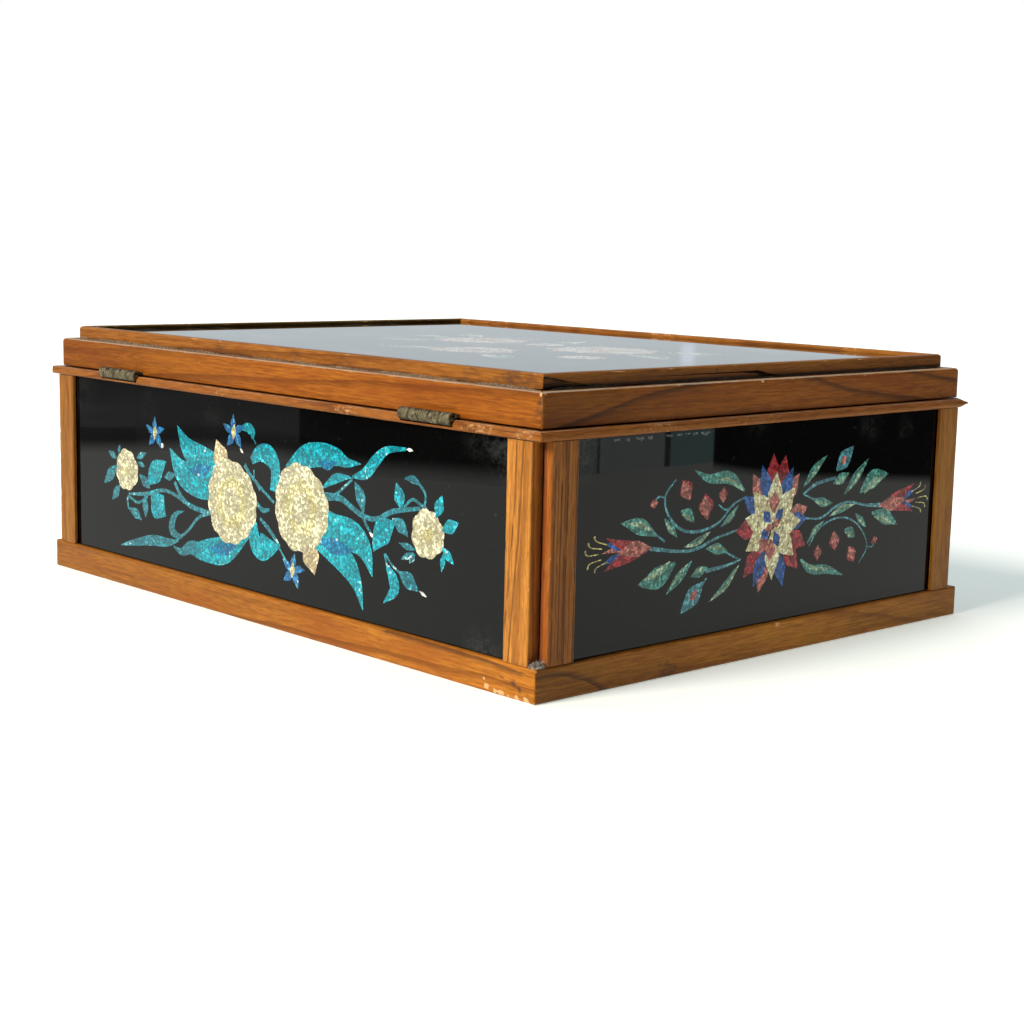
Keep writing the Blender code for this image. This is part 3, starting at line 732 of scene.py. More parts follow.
# A single bruise or stain: along and up from the middle of the side's foot, and its radius,
# in millimetres, then what it is and how strong
Mark = namedtuple("Mark", "along up radius what strength")
MARKS = {
    "base_rail_hinge_side": (
        Mark(107.9, 1.6, 1.7, "wear", 1.0),
        Mark(107.0, 3.5, 1.0, "wear", 0.9),
        Mark(111.4, 0.8, 1.3, "wear", 0.9),
        Mark(113.8, 0.8, 1.3, "wear", 1.0),
        Mark(116.6, 0.7, 0.8, "wear", 0.8),
        Mark(119.9, 0.7, 1.6, "wear", 1.0),
        Mark(123.4, 0.5, 1.7, "wear", 1.0),
        Mark(118.3, 4.2, 2.3, "dirt", 0.85),
        Mark(120.6, 3.3, 1.4, "dirt", 0.70),
        Mark(114.2, 5.4, 1.2, "dirt", 0.70),
        Mark(122.0, 2.0, 4.0, "dirt", 0.27),
        Mark(-22.6, 6.7, 1.0, "wear", 0.42),
        Mark(-18.0, 3.5, 1.0, "wear", 0.46),
        *[Mark(127.1, 0.6 + 1.2 * step, 0.8, "wear", 0.46) for step in range(8)],
    ),
    "lid_rail_hinge_side": (
        Mark(123.9, 80.6, 2.2, "dirt", 0.52),
        Mark(123.4, 77.3, 2.6, "dirt", 0.50),
        Mark(118.0, 75.5, 2.2, "dirt", 0.34),
        Mark(122.6, 78.6, 1.2, "wear", 0.42),
        Mark(124.2, 82.9, 1.5, "wear", 0.75),
        *[Mark(125.0, 74.0 + 1.2 * step, 0.9, "wear", 0.52) for step in range(8)],
        Mark(28, 79.4, 1.0, "wear", 0.5),
        Mark(-36, 80.2, 1.0, "wear", 0.7),
        Mark(-36, 74.6, 1.6, "dirt", 0.42),
    ),
    "ledge_hinge_side": (
        Mark(121, 71.6, 7.5, "wear", 0.44),
        Mark(104, 71.6, 9.0, "wear", 0.44),
        Mark(46, 72.0, 9.0, "wear", 0.44),
        Mark(-20, 72.0, 9.0, "wear", 0.42),
        Mark(-78, 72.0, 6.0, "wear", 0.40),
        Mark(96, 71.5, 1.4, "wear", 0.60),
    ),
    "ledge_right_end": (Mark(-52, 71.3, 17, "wear", 0.40), Mark(-10, 71.3, 20, "wear", 0.37)),
    "lid_rail_right_end": (
        Mark(-6, 82.7, 1.0, "wear", 1.0),
        Mark(44, 82.7, 0.9, "wear", 0.8),
        Mark(-94, 82.9, 1.4, "wear", 0.5),
    ),
    "bead_hinge_side": (
        Mark(-30, 85.0, 5.0, "dirt", 0.36),
        Mark(10, 84.8, 7.0, "dirt", 0.34),
        Mark(36, 85.4, 5.0, "dirt", 0.36),
        Mark(92, 85.0, 9.0, "dirt", 0.36),
        Mark(108, 84.6, 9.0, "dirt", 0.48),
        Mark(116, 84.6, 6.0, "dirt", 0.46),
        Mark(113, 85.0, 8.0, "wear", 0.31),
        *[Mark(120.8, 83.8 + 1.1 * step, 0.8, "wear", 0.55) for step in range(4)],
    ),
    "bead_right_end": (Mark(-22, 86.0, 1.6, "dirt", 0.6), Mark(62, 85.6, 1.6, "dirt", 0.45)),
    "base_rail_right_end": (
        Mark(3.2, 9.2, 1.2, "wear", 1.0),
        Mark(-46, 1.5, 7.0, "dirt", 0.42),
        Mark(-20, 2.5, 6.0, "dirt", 0.32),
        Mark(-97.5, 9.0, 0.8, "wear", 0.8),
    ),
}


def cut_of(node):
    """How the node's strip is sawn: as noted above, or else much like its neighbours."""
    if node in CUTS:
        return CUTS[node]
    draw = random.Random(node)
    return Cut(
        draw.uniform(2.0, 4.0),
        draw.uniform(35, 80),
        draw.uniform(-35, -15),
        draw.uniform(-30, 30),
        draw.uniform(-12, 12),
        draw.uniform(0.0, 1.2),
        draw.uniform(-60, 60),
        draw.uniform(0.6, 1.1),
    )


def ring_at(cut, along, across, up, salt):
    """The number of rings from the heart of the log to a point of the strip."""
    reach = along / MM
    crown = cut.crown * ((reach - cut.crown_at) / 30) ** 2 if cut.crown else 0.0
    sway = cut.sway * noise.noise(Vector((reach / 34, across / MM / 30, salt)))
    deep = across / MM - cut.heart_in + cut.drift_in * along
    high = up / MM - cut.heart_up + cut.drift_up * along + crown + sway
    return math.hypot(deep, high) / cut.ring


def vein_distance(node, point):
    """Millimetres from a point to the nearest vein of its strip: below zero on one side of it."""
    place = Vector((point.x / MM, point.z / MM, 0.0))
    found = 9.0
    for vein in VEINS.get(node, ()):
        for first, second in zip(vein, vein[1:]):
            start, end = Vector((*first, 0.0)), Vector((*second, 0.0))
            share = intersect_point_line(place, start, end)[1]
            away = place - start.lerp(end, min(max(share, 0.0), 1.0))
            if away.length < abs(found):
                found = math.copysign(away.length, (end - start).cross(away).z)
    return found


def break_shadow(gaps):
    """How dark the broken bead is: under what is left of it, low at its corner, along its foot."""
    recess = ramp(gaps["front"], 0.3 * MM, 0.8 * MM)
    low_corner = ramp(gaps["bottom"], 1.7 * MM, 0.9 * MM) * ramp(gaps["left"], 15 * MM, 8 * MM)
    strip = 0.6 * MM + 1.5 * MM * min(gaps["left"] / (20.5 * MM), 1.0)
    under = ramp(abs(gaps["top"] - strip - 0.3 * MM), 1.0 * MM, 0.5 * MM)
    return max(max(low_corner, under) * recess, 0.9 * ramp(gaps["bottom"], 0.9 * MM, 0.4 * MM))


def painted_light_at(node, share, gaps):
    """What the wood's colour is multiplied by: painted light along the strip, a painted shade tint,
    painted shadow in the broken bead, painted light and shade on notch walls.
    """
    left, middle, right = PAINTED_LIGHT_ALONG.get(node, (1.0, 1.0, 1.0))
    if share < 0.5:
        light = left + (middle - left) * 2 * share
    else:
        light = middle + (right - middle) * (2 * share - 1)
    tone = PAINTED_SHADE_TINT.get(node, PAINTED_SHADE_TINT.get(side_of(node), Vector((1.0, 1.0, 1.0)))) * light
    # Painted shadow in and under the broken bead, and along its foot
    if node == "bead_" + BROKEN_SIDE:
        tone = tone * (1 - 0.94 * break_shadow(gaps))
    # Painted light and shade on the notch walls: painted lighter as if in the key light, the wall of
    # stile_hinge_side_right painted darker as if turned from it, and both painted darker deeper in
    if node.startswith("stile"):
        wall = ramp(min(gaps["left"], gaps["right"]), 0.3 * MM, 0.1 * MM)
        wall *= ramp(gaps["front"], 0.2 * MM, 0.6 * MM)
        deep = ramp(gaps["front"], 1.8 * MM, 2.8 * MM)
        colour = Vector((1.24, 1.12, 1.30)).lerp(Vector((0.95, 0.84, 1.7)), deep)
        if node == "stile_hinge_side_right":
            colour = Vector((0.70, 0.56, 0.42)).lerp(Vector((0.40, 0.30, 0.28)), deep)
        tone = tone.lerp(Vector([a * b for a, b in zip(tone, colour)]), wall)
    return tone


def gaps_to_faces(point, low, high):
    """How far a point lies in from each face of the strip's box."""
    return {
        "left": point.x - low.x,
        "right": high.x - point.x,
        "front": point.y - low.y,
        "back": high.y - point.y,
        "bottom": point.z - low.z,
        "top": high.z - point.z,
    }


def rubbing(point, gaps, edges, salt):
    """How a point moves where its edge is rubbed or chipped, and how bare it is there."""
    size = sizes()
    shift = Vector((0.0, 0.0, 0.0))
    bare = 0.0
    for first, second, strength in edges:
        near = ramp(math.hypot(gaps[first], gaps[second]), size.arris_reach, 0.1 * MM)
        if near == 0.0:
            continue
        patch = 0.5 + 0.5 * rough(point, 7 * MM, salt)
        chip = ramp(rough(point, 2.4 * MM, salt + 7), 0.22, 0.60)
        lost = strength * near * (size.arris_depth * patch + size.chip_depth * chip * patch)
        shift += (INWARD[first] + INWARD[second]) * lost
        bare = max(bare, strength * near * (0.20 + 0.35 * patch + 0.55 * chip))
    return shift, bare


def marked(node, point):
    """Bareness and dirt of the single marks on a strip."""
    found = {"wear": 0.0, "dirt": 0.0}
    for mark in MARKS.get(node, ()):
        away = math.hypot(point.x / MM - mark.along, 1.3 * (point.z / MM - mark.up))
        away += 0.45 * mark.radius * rough(point, 1.6 * MM, mark.along)
        strength = mark.strength * ramp(away, mark.radius, 0.35 * mark.radius)
        found[mark.what] = max(found[mark.what], strength)
    return found


def rounding(node, gaps):
    """How a point moves where a corner of the box is rounded off or a tip is worn."""
    shift = Vector((0.0, 0.0, 0.0))
    kind = next((kind for kind in ROUNDED if node.startswith(kind)), None)
    if kind is None:
        return shift
    worn_end, worn_radius = WORN_CORNER.get(node, (None, 0.0))
    for end in ("left", "right"):
        radius = (worn_radius if end == worn_end else ROUNDED[kind]) * MM
        along, inward = gaps[end] - radius, gaps["front"] - radius
        away = math.hypot(along, inward)
        if along < 0 and inward < 0 and away > radius:
            keep = radius / away - 1
            shift += INWARD[end] * along * keep + INWARD["front"] * inward * keep
        if end == worn_end:
            reach = min(max(math.hypot(gaps[end], gaps["front"]) - 0.3 * radius, 0.0), radius)
            sunk = radius - math.sqrt(radius**2 - (radius - reach) ** 2)
            shift += INWARD["top"] * sunk * ramp(gaps["top"], 2 * radius, 0.0)
    if node in WORN_TIP:
        away = math.hypot(gaps[WORN_TIP[node]], gaps["front"])
        level = gaps["bottom"] / (gaps["bottom"] + gaps["top"])
        shift.z += ramp(away, TIP_REACH * MM, 0.0) * (1.1 - 2.2 * level) * MM
    return shift


def dress_strip(node, strip, grime, stretch, shape=None):
    """Replaces a wooden node with a finer, worn copy that carries its grain, wear, dirt and dust, and
    painted light and shade.
    """
    size = sizes()
    salt = salt_of(node)
    cut = cut_of(node)
    bm = whole_faces(node)
    run_cell = size.cell_across if strip.upright else size.cell_along
    cells = (run_cell, 1.3 * size.cell_across, size.cell_across)
    ends = (size.rim,) if strip.upright else (size.rim, *END_CUTS)
    slice_up(bm, cells, (ends, (size.rim, FRONT_CUT), (size.rim,)))
    low, high = corners(bm)
    middle = (low + high) / 2
    names = ("ring", "vein", "wear", "dirt", "dust", "pores")
    layers = {name: bm.verts.layers.float.new(name) for name in names}
    grain = bm.verts.layers.float_vector.new("grain")
    # tone carries the painted light and shade of each point
    tone = bm.verts.layers.float_vector.new("tone")
    bm.normal_update()
    moved = []
    for vert in bm.verts:
        point = vert.co.copy()
        gaps = gaps_to_faces(point, low, high)
        across = point.y
        run, up, start = (point.z, point.x, low.x) if strip.upright else (point.x, point.z, low.z)
        vert[grain] = Vector((run, across, up)) + Vector((salt, salt / 3, salt / 7)) * 0.1
        vert[layers["ring"]] = ring_at(cut, run, across - low.y, up - start, salt)
        vert[tone] = painted_light_at(node, (point.x - low.x) / (high.x - low.x), gaps)
        vert[layers["pores"]] = PORES.get(node, FAINT_PORES)
        vert[layers["vein"]] = vein_distance(node, point)
        shift, bare = rubbing(point, gaps, strip.edges, salt)
        marks = marked(node, point)
        dirt, dust = grime(point, gaps, salt)
        shift += rounding(node, gaps)
        level = vert.normal.copy()
        if not strip.upright:
            level.x = 0.0
        shift -= level * size.unevenness * (0.5 + 0.5 * rough(point, 16 * MM, salt + 3))
        shift -= vert.normal * 0.10 * MM * marks["wear"]
        if shape:
            more, deeper = shape(point, gaps, salt)
            shift += more
            dirt = max(dirt, deeper)
        vert[layers["wear"]] = max(bare, marks["wear"])
        vert[layers["dirt"]] = max(dirt, marks["dirt"])
        vert[layers["dust"]] = dust
        spread = Vector([(point[axis] - middle[axis]) * stretch[axis] for axis in range(3)])
        moved.append(point + shift + spread)
    for vert, place in zip(bm.verts, moved):
        vert.co = place
    bm.transform(turned(side_of(node)))
    body = frame["nodes"][node]["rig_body"]
    add_piece("worn_" + node, bm, [strip.wood], body, [node])


def stretch_for(node, gap_along=0.0, gap_up=0.0):
    """How much longer and taller a strip gets, so that its seams close to hairlines."""
    low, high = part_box(node)
    size = high - low
    run = max(size.x, size.y)
    return (gap_along / run, 0.0, gap_up / size.z)


def closing():
    """How far a piece grows towards its neighbour, so that only the seam is left."""
    return TRIMMED - sizes().seam


def mitre_closing():
    """How much longer a mitred strip gets. Each end was trimmed by half of the gap, aslant."""
    return 2 * (TRIMMED / math.sqrt(2) - 0.5 * sizes().seam)


def dress_frame(kind, strip, grime, shape=None, shaped=SIDES):
    """Dresses the four mitred strips of a frame, with a shape on top on the sides that have it."""
    for side in SIDES:
        node = kind + "_" + side
        stretch = stretch_for(node, mitre_closing())
        dress_strip(node, strip, grime, stretch, shape if side in shaped else None)


def front_edges(top, bottom, ends):
    """The four edges round the front of a strip, and how hard they are rubbed."""
    return (
        ("front", "top", top),
        ("front", "bottom", bottom),
        ("front", "left", ends),
        ("front", "right", ends),
    )


BASE_EDGES = front_edges(0.75, 0.95, 0.9)
LID_EDGES = front_edges(1.25, 0.55, 1.3)
LEDGE_EDGES = front_edges(1.0, 0.6, 1.1)
BEAD_EDGES = (
    ("front", "top", 0.9),
    ("back", "top", 0.9),
    ("front", "left", 0.9),
    ("front", "right", 0.9),
)
STILE_EDGES = (("front", "left", 0.55), ("front", "right", 0.55))

# Each of the grimes says how much dirt and how much dust lie on a point of its kind of strip. On the ledge
# the dirt also holds a stripe of painted shade, and on the tops of the lid frame, the ledge and the beads
# the dust also holds a painted highlight


def base_grime(point, gaps, salt):
    """Dirt along the foot, dust on the step in front of the walls."""
    streak = 0.5 + 0.5 * rough((point.x * 0.3, point.y, point.z), 3 * MM, salt)
    on_top = ramp(gaps["top"], 0.5 * MM, 0.1 * MM) * ramp(gaps["front"], 0.6 * MM, 1.4 * MM)
    foot = ramp(gaps["bottom"], 0.8 * MM, 0.0)
    return max(0.55 * on_top, 0.35 * foot * streak), 0.55 * on_top * streak


def stile_grime(point, gaps, salt):
    """Dirt at both ends and deep in the notch, a little dust at the foot."""
    streak = 0.5 + 0.5 * rough(point, 3 * MM, salt)
    ends = max(ramp(gaps["bottom"], 2.6 * MM, 0.0), ramp(gaps["top"], 1.0 * MM, 0.0))
    notch = ramp(gaps["front"], 1.2 * MM, 3.2 * MM)
    dust = 0.25 * ramp(gaps["bottom"], 2 * MM, 0.0) * streak
    return max(0.55 * ends * streak, 0.35 * notch), dust


def ledge_grime(point, gaps, salt):
    """Dirt under the lid and under the ledge, a dark stripe under the top edge that is painted shade with
    some dirt, dust on its top with a painted highlight.
    """
    streak = 0.5 + 0.5 * rough((point.x * 0.3, point.y, point.z), 2.5 * MM, salt)
    under_lid = ramp(gaps["front"], 2.4 * MM, 3.0 * MM)
    below = ramp(gaps["bottom"], 0.3 * MM, 0.0)
    # A dark stripe under the top edge: painted shade of the band that leans back, with some dirt in it
    shade_and_dirt_stripe = ramp(abs(gaps["top"] - 0.9 * MM), 0.5 * MM, 0.1 * MM)
    shade_and_dirt_stripe *= ramp(gaps["front"], 0.8 * MM, 0.4 * MM)
    # Dust on the top, with a painted highlight along its front edge
    on_top = ramp(gaps["top"], 0.25 * MM, 0.05 * MM) * ramp(gaps["front"], 2.0 * MM, 1.0 * MM)
    dirt = max(0.7 * under_lid, 0.45 * below * streak, 0.34 * shade_and_dirt_stripe)
    return dirt, 0.10 * streak + 0.45 * on_top


def ledge_shape(point, gaps, salt):
    """The upper edge of the ledge leans back a little, as a worn moulding does."""
    lean = ramp(gaps["top"], 1.3 * MM, 0.0) * ramp(gaps["front"], 1.0 * MM, 0.0)
    return Vector((0.0, 0.35 * MM * lean, 0.0)), 0.0


def lid_grime(point, gaps, salt):
    """Dirt in the seam below and at the foot of the bead, dust on the top, and a painted highlight along
    the front of the top.
    """
    streak = 0.5 + 0.5 * rough((point.x * 0.35, point.y, point.z), 3 * MM, salt)
    on_top = ramp(gaps["top"], 0.3 * MM, 0.1 * MM)
    bead_foot = on_top * ramp(gaps["front"], 2.2 * MM, 4.0 * MM)
    seam = ramp(gaps["bottom"], 0.3 * MM, 0.0)
    # A pale strip along the front of the top: dust, and a painted highlight where the edge catches the
    # light
    pale = on_top * ramp(gaps["front"], 3.2 * MM, 1.6 * MM) * (0.55 + 0.25 * streak)
    return max(0.4 * seam, 0.75 * bead_foot * streak), pale + 0.30 * bead_foot * (1 - streak)


def bead_grime(point, gaps, salt):
    """Dirt and dust along the foot, dirt at the glass, dust with a painted highlight on the top."""
    streak = 0.5 + 0.5 * rough((point.x * 0.4, point.y, point.z), 4 * MM, salt)
    foot = ramp(gaps["bottom"], 1.4 * MM, 0.4 * MM)
    inner = ramp(gaps["back"], 0.3 * MM, 0.0) * ramp(gaps["top"], 0.8 * MM, 2.0 * MM)
    # Dust on the top, with a painted highlight
    on_top = ramp(gaps["top"], 0.2 * MM, 0.05 * MM)
    dirt = max(0.62 * foot * (0.5 + 0.5 * streak), 0.42 * inner)
    return dirt, 0.40 * foot * (1 - streak) + 0.42 * on_top * streak


def broken_face(point, gaps, salt):
    """Torn fibres and old dirt where wood is gone: any face that lies inside the bead's box."""
    inside = min(gaps["front"], gaps["back"], gaps["bottom"], gaps["top"])
    torn = ramp(inside, 0.25 * MM, 0.7 * MM)
    ridge = rough((point.x * 0.25, point.y, point.z), 0.8 * MM, salt)
    return Vector((0.0, 0.14 * MM, 0.06 * MM)) * torn * ridge, 0.30 * torn


def smooth_path(points, steps):
    """A smooth line through the given points."""
    points = [Vector(point) for point in points]
    ends = [2 * points[0] - points[1]] + points + [2 * points[-1] - points[-2]]
    line = []
    for before, start, end, after in zip(ends, ends[1:], ends[2:], ends[3:]):
        for step in range(steps):
            t = step / steps
            place = 2 * start + (end - before) * t
            place = place + (2 * before - 5 * start + 4 * end - after) * t**2
            place = place + (3 * start - before - 3 * end + after) * t**3
            line.append(0.5 * place)
    line.append(points[-1])
    return line


def ribbon(points, widths, steps=6):
    """The outline of a band along a smooth line, as wide at each point as widths says."""
    line = smooth_path(points, steps)
    spread = [width for width, _ in smooth_path([(width, 0.0) for width in widths], steps)]
    left, right = [], []
    for index, point in enumerate(line):
        ahead = line[min(index + 1, len(line) - 1)] - line[max(index - 1, 0)]
        across = Vector((-ahead.y, ahead.x)).normalized() * max(spread[index], 0.02) / 2
        left.append(point + across)
        right.append(point - across)
    return left + right[::-1]


def leaf(base, tip, width, bend=0.0, belly=0.45):
    """The outline of a leaf. bend bows it to the left of base to tip, belly is its widest place."""
    base, tip = Vector(base), Vector(tip)
    run = tip - base
    bow = Vector((-run.y, run.x)) * bend
    line = [base, base + run * belly + bow, base + run * 0.8 + bow * 0.62, tip]
    return ribbon(line, (0.12 * width, width, 0.48 * width, 0.0), 5)


SCALLOP_POINTS = 7


def blossom(middle, radius, scallops, depth=0.09, start=0.0):
    """The scalloped outline of a full flower."""
    count = scallops * SCALLOP_POINTS
    outline = []
    for index in range(count):
        angle = 2 * math.pi * index / count
        scallop = abs(math.sin(scallops * angle / 2 + start))
        waver = 0.03 * math.sin(3 * angle + 5 * start)
        reach = radius * (1 - depth + depth * scallop + waver)
        outline.append(Vector(middle) + reach * Vector((math.cos(angle), math.sin(angle))))
    return outline


def polar(middle, reach, degrees, flat=1.0):
    """A point at that reach and angle from the middle. flat narrows it sideways."""
    angle = math.radians(degrees)
    return Vector(middle) + reach * Vector((math.cos(angle) * flat, math.sin(angle)))


class Painting:
    """Foil shapes laid over each other on one pane, in millimetres from its middle."""

    def __init__(self, half_run, half_rise):
        self.sheet = [Vector(place) for place in ((-1, -1), (1, -1), (1, 1), (-1, 1))]
        self.sheet = [Vector((place.x * half_run, place.y * half_rise)) for place in self.sheet]
        self.shapes = [(self.sheet, "black")]

    def add(self, foil, outline):
        """Any outline, over the shapes that are there already."""
        area = sum(a.cross(b) for a, b in zip(outline, outline[1:] + outline[:1]))
        self.shapes.append((outline if area > 0 else outline[::-1], foil))

    def band(self, foil, *stations, steps=6):
        """A band along a smooth line. Each station is a point of it and how wide it is there."""
        points = [station[:2] for station in stations]
        widths = [station[2] for station in stations]
        self.add(foil, ribbon(points, widths, steps))

    def leaf(self, foil, *placing):
        """A leaf, placed like the outline that the function leaf gives."""
        self.add(foil, leaf(*placing))

    def mesh(self, depth):
        """A closed pane of that depth. Its front is parted into the shapes."""
        points, loops = [], []
        for outline, _ in self.shapes:
            loops.append(list(range(len(points), len(points) + len(outline))))
            points += outline
        places, _, faces, _, _, origins = delaunay_2d_cdt(points, [], loops, 1, 1e-5)
        foils = list(dict.fromkeys(foil for _, foil in self.shapes))
        bm = bmesh.new()
        verts = [bm.verts.new((place.x * MM, 0.0, place.y * MM)) for place in places]
        for face, under in zip(faces, origins):
            made = bm.faces.new([verts[index] for index in face])
            made.material_index = foils.index(self.shapes[max(under)][1])
        rim = []
        for corner in self.sheet:
            rim.append(min(verts, key=lambda vert: (vert.co.xz / MM - corner).length))
        back = [bm.verts.new(vert.co + Vector((0.0, depth, 0.0))) for vert in rim]
        bm.faces.new(back[::-1])
        for index in range(4):
            after = (index + 1) % 4
            bm.faces.new((rim[index], back[index], back[after], rim[after]))
        loose = [vert for vert in bm.verts if not vert.link_faces]
        bmesh.ops.delete(bm, geom=loose, context="VERTS")
        bmesh.ops.recalc_face_normals(bm, faces=bm.faces)
        return bm, foils


def big_rose(picture, middle, bud):
    """A full cream flower with an uneven edge and its bud."""
    middle, bud = Vector(middle), Vector(bud)
    picture.leaf("tan", middle.lerp(bud, 0.45), middle.lerp(bud, 1.04), 8.4, 0.0, 0.5)
    picture.add("cream", blossom(middle, 13.9, 12, 0.06, 0.3))
    picture.add("butter", blossom(middle, 8.6, 9, 0.12, 0.9))
    picture.add("cream", blossom(middle, 5.2, 7, 0.16, 0.2))


def small_rose(picture, middle, radius):
    """A small cream flower with a butter yellow heart."""
    picture.add("cream", blossom(middle, radius, 8, 0.09, 0.4))
    picture.add("butter", blossom(middle, 0.34 * radius, 5, 0.2, 0.2))


def star_flower(picture, middle, radius, start):
    """A blue flower of five uneven petals, the lower ones broad, with a tall cream heart."""
    for turn, reach, width in (
        (0, 1.0, 0.46),
        (66, 0.98, 0.42),
        (142, 1.0, 0.54),
        (214, 1.05, 0.54),
        (290, 0.98, 0.42),
    ):
        tip = polar(middle, reach * radius, start + turn, 1.15)
        picture.leaf("cornflower", Vector(middle).lerp(tip, -0.12), tip, width * radius, 0.04, 0.50)
    for turn, reach in ((0, 0.94), (62, 0.9), (212, 1.0)):
        foot = polar(middle, 0.45 * radius, start + turn, 1.15)
        tip = polar(middle, reach * radius, start + turn, 1.15)
        picture.leaf("mist", foot, tip, 0.13 * radius)
    foot = Vector(middle) - Vector((0.4, 0.42 * radius))
    tip = Vector(middle) + Vector((0.2, 0.46 * radius))
    picture.leaf("butter", foot, tip, 0.42 * radius)


def left_spray(picture):
    """Left of the left rose: a double leaf, a stem with a small rose, long leaves below."""
    picture.band("turquoise", (-21, 6, 9.0), (-33, 8.5, 9.5), (-42, 11.5, 7.5), (-48.3, 18.5, 0.3))
    picture.band("turquoise", (-24, 2, 11.0), (-36, 1.5, 11.5), (-46, 3.5, 8.5), (-53, 10.6, 0.3))
    picture.leaf("lagoon", (-28, 7), (-42, 4.5), 4.4, 0.06)
    picture.leaf("dim_teal", (-56.5, 0.3), (-49.5, 2.0), 3.0)
    picture.add("glint", blossom((-57.6, 10.9), 0.9, 5, 0.2))
    star_flower(picture, (-62, 14.8), 5.6, 90)
    picture.band("dim_teal", (-29, -8.5, 1.6), (-40, -7.5, 1.8), (-46, -5, 1.5), (-50, -0.5, 1.6))
    picture.band(
        "dim_teal", (-41, -7.4, 1.4), (-51, -4.6, 1.2), (-58, -4.3, 1.3), (-67, -6.5, 1.5), (-79, -8, 0.7),
    )
    picture.band("dim_teal", (-67, -7.5, 0.8), (-73, -10.3, 1.0), (-79.5, -9, 1.0), (-79.6, -13, 0.8))
    picture.leaf("turquoise", (-67, -3.4), (-55.2, 5.8), 7.8, 0.05)
    picture.leaf("dim_teal", (-65.5, -4.5), (-72.3, -0.4), 3.6)
    picture.leaf("turquoise", (-64.5, -5.6), (-55.5, -12.8), 10.2, -0.06, 0.5)
    picture.leaf("dim_teal", (-68.6, -7), (-68.3, -15), 3.6)
    picture.leaf("dim_teal", (-79.5, -13), (-70.8, -16.2), 3.6, 0.06, 0.55)
    small_rose(picture, (-80.2, 0.2), 7.3)
    for base, tip, width in (
        ((-86.6, 1.2), (-95.6, -6.2), 4.4),
        ((-84.8, -5.6), (-90.2, -11.4), 3.6),
        ((-86.8, 3.6), (-92.3, 5.6), 2.6),
        ((-85.6, 5.2), (-84.8, 8.6), 1.6),
        ((-73.8, 5.0), (-67.6, 7.4), 2.4),
        ((-73.2, 3.6), (-68.4, 2.6), 1.8),
    ):
        picture.leaf("dim_teal", base, tip, width)
    picture.band(
        "dim_teal", (-44.5, -9.7, 0.3), (-48.8, -11.0, 1.7), (-51.5, -14, 3.2), (-51.4, -17.4, 3.4),
        (-45.6, -18.8, 0.5),
    )
    picture.band("dim_teal", (-30, -8.6, 1.2), (-36, -10.8, 1.1), (-42, -15.8, 1.0), (-50, -20.6, 0.9))
    picture.band(
        "dim_teal", (-84.6, -26.6, 0.3), (-76, -24.6, 2.2), (-64, -22.2, 3.7), (-55, -21.6, 3.0),
        (-48, -20.2, 0.6),
    )
    picture.band("dim_teal", (-51, -22.4, 0.5), (-46, -23.5, 2.6), (-40.5, -21.4, 4.6), (-34, -21.8, 6.2))
    picture.band("turquoise", (-37, -21.6, 5.0), (-30, -21, 8.0), (-20, -19, 9.0), (-7, -11, 4.0))
    picture.leaf("lagoon", (-30, -20), (-13, -16.5), 4.4, -0.05)
    big_rose(picture, (-16.8, -3.2), (-25.0, 15.4))


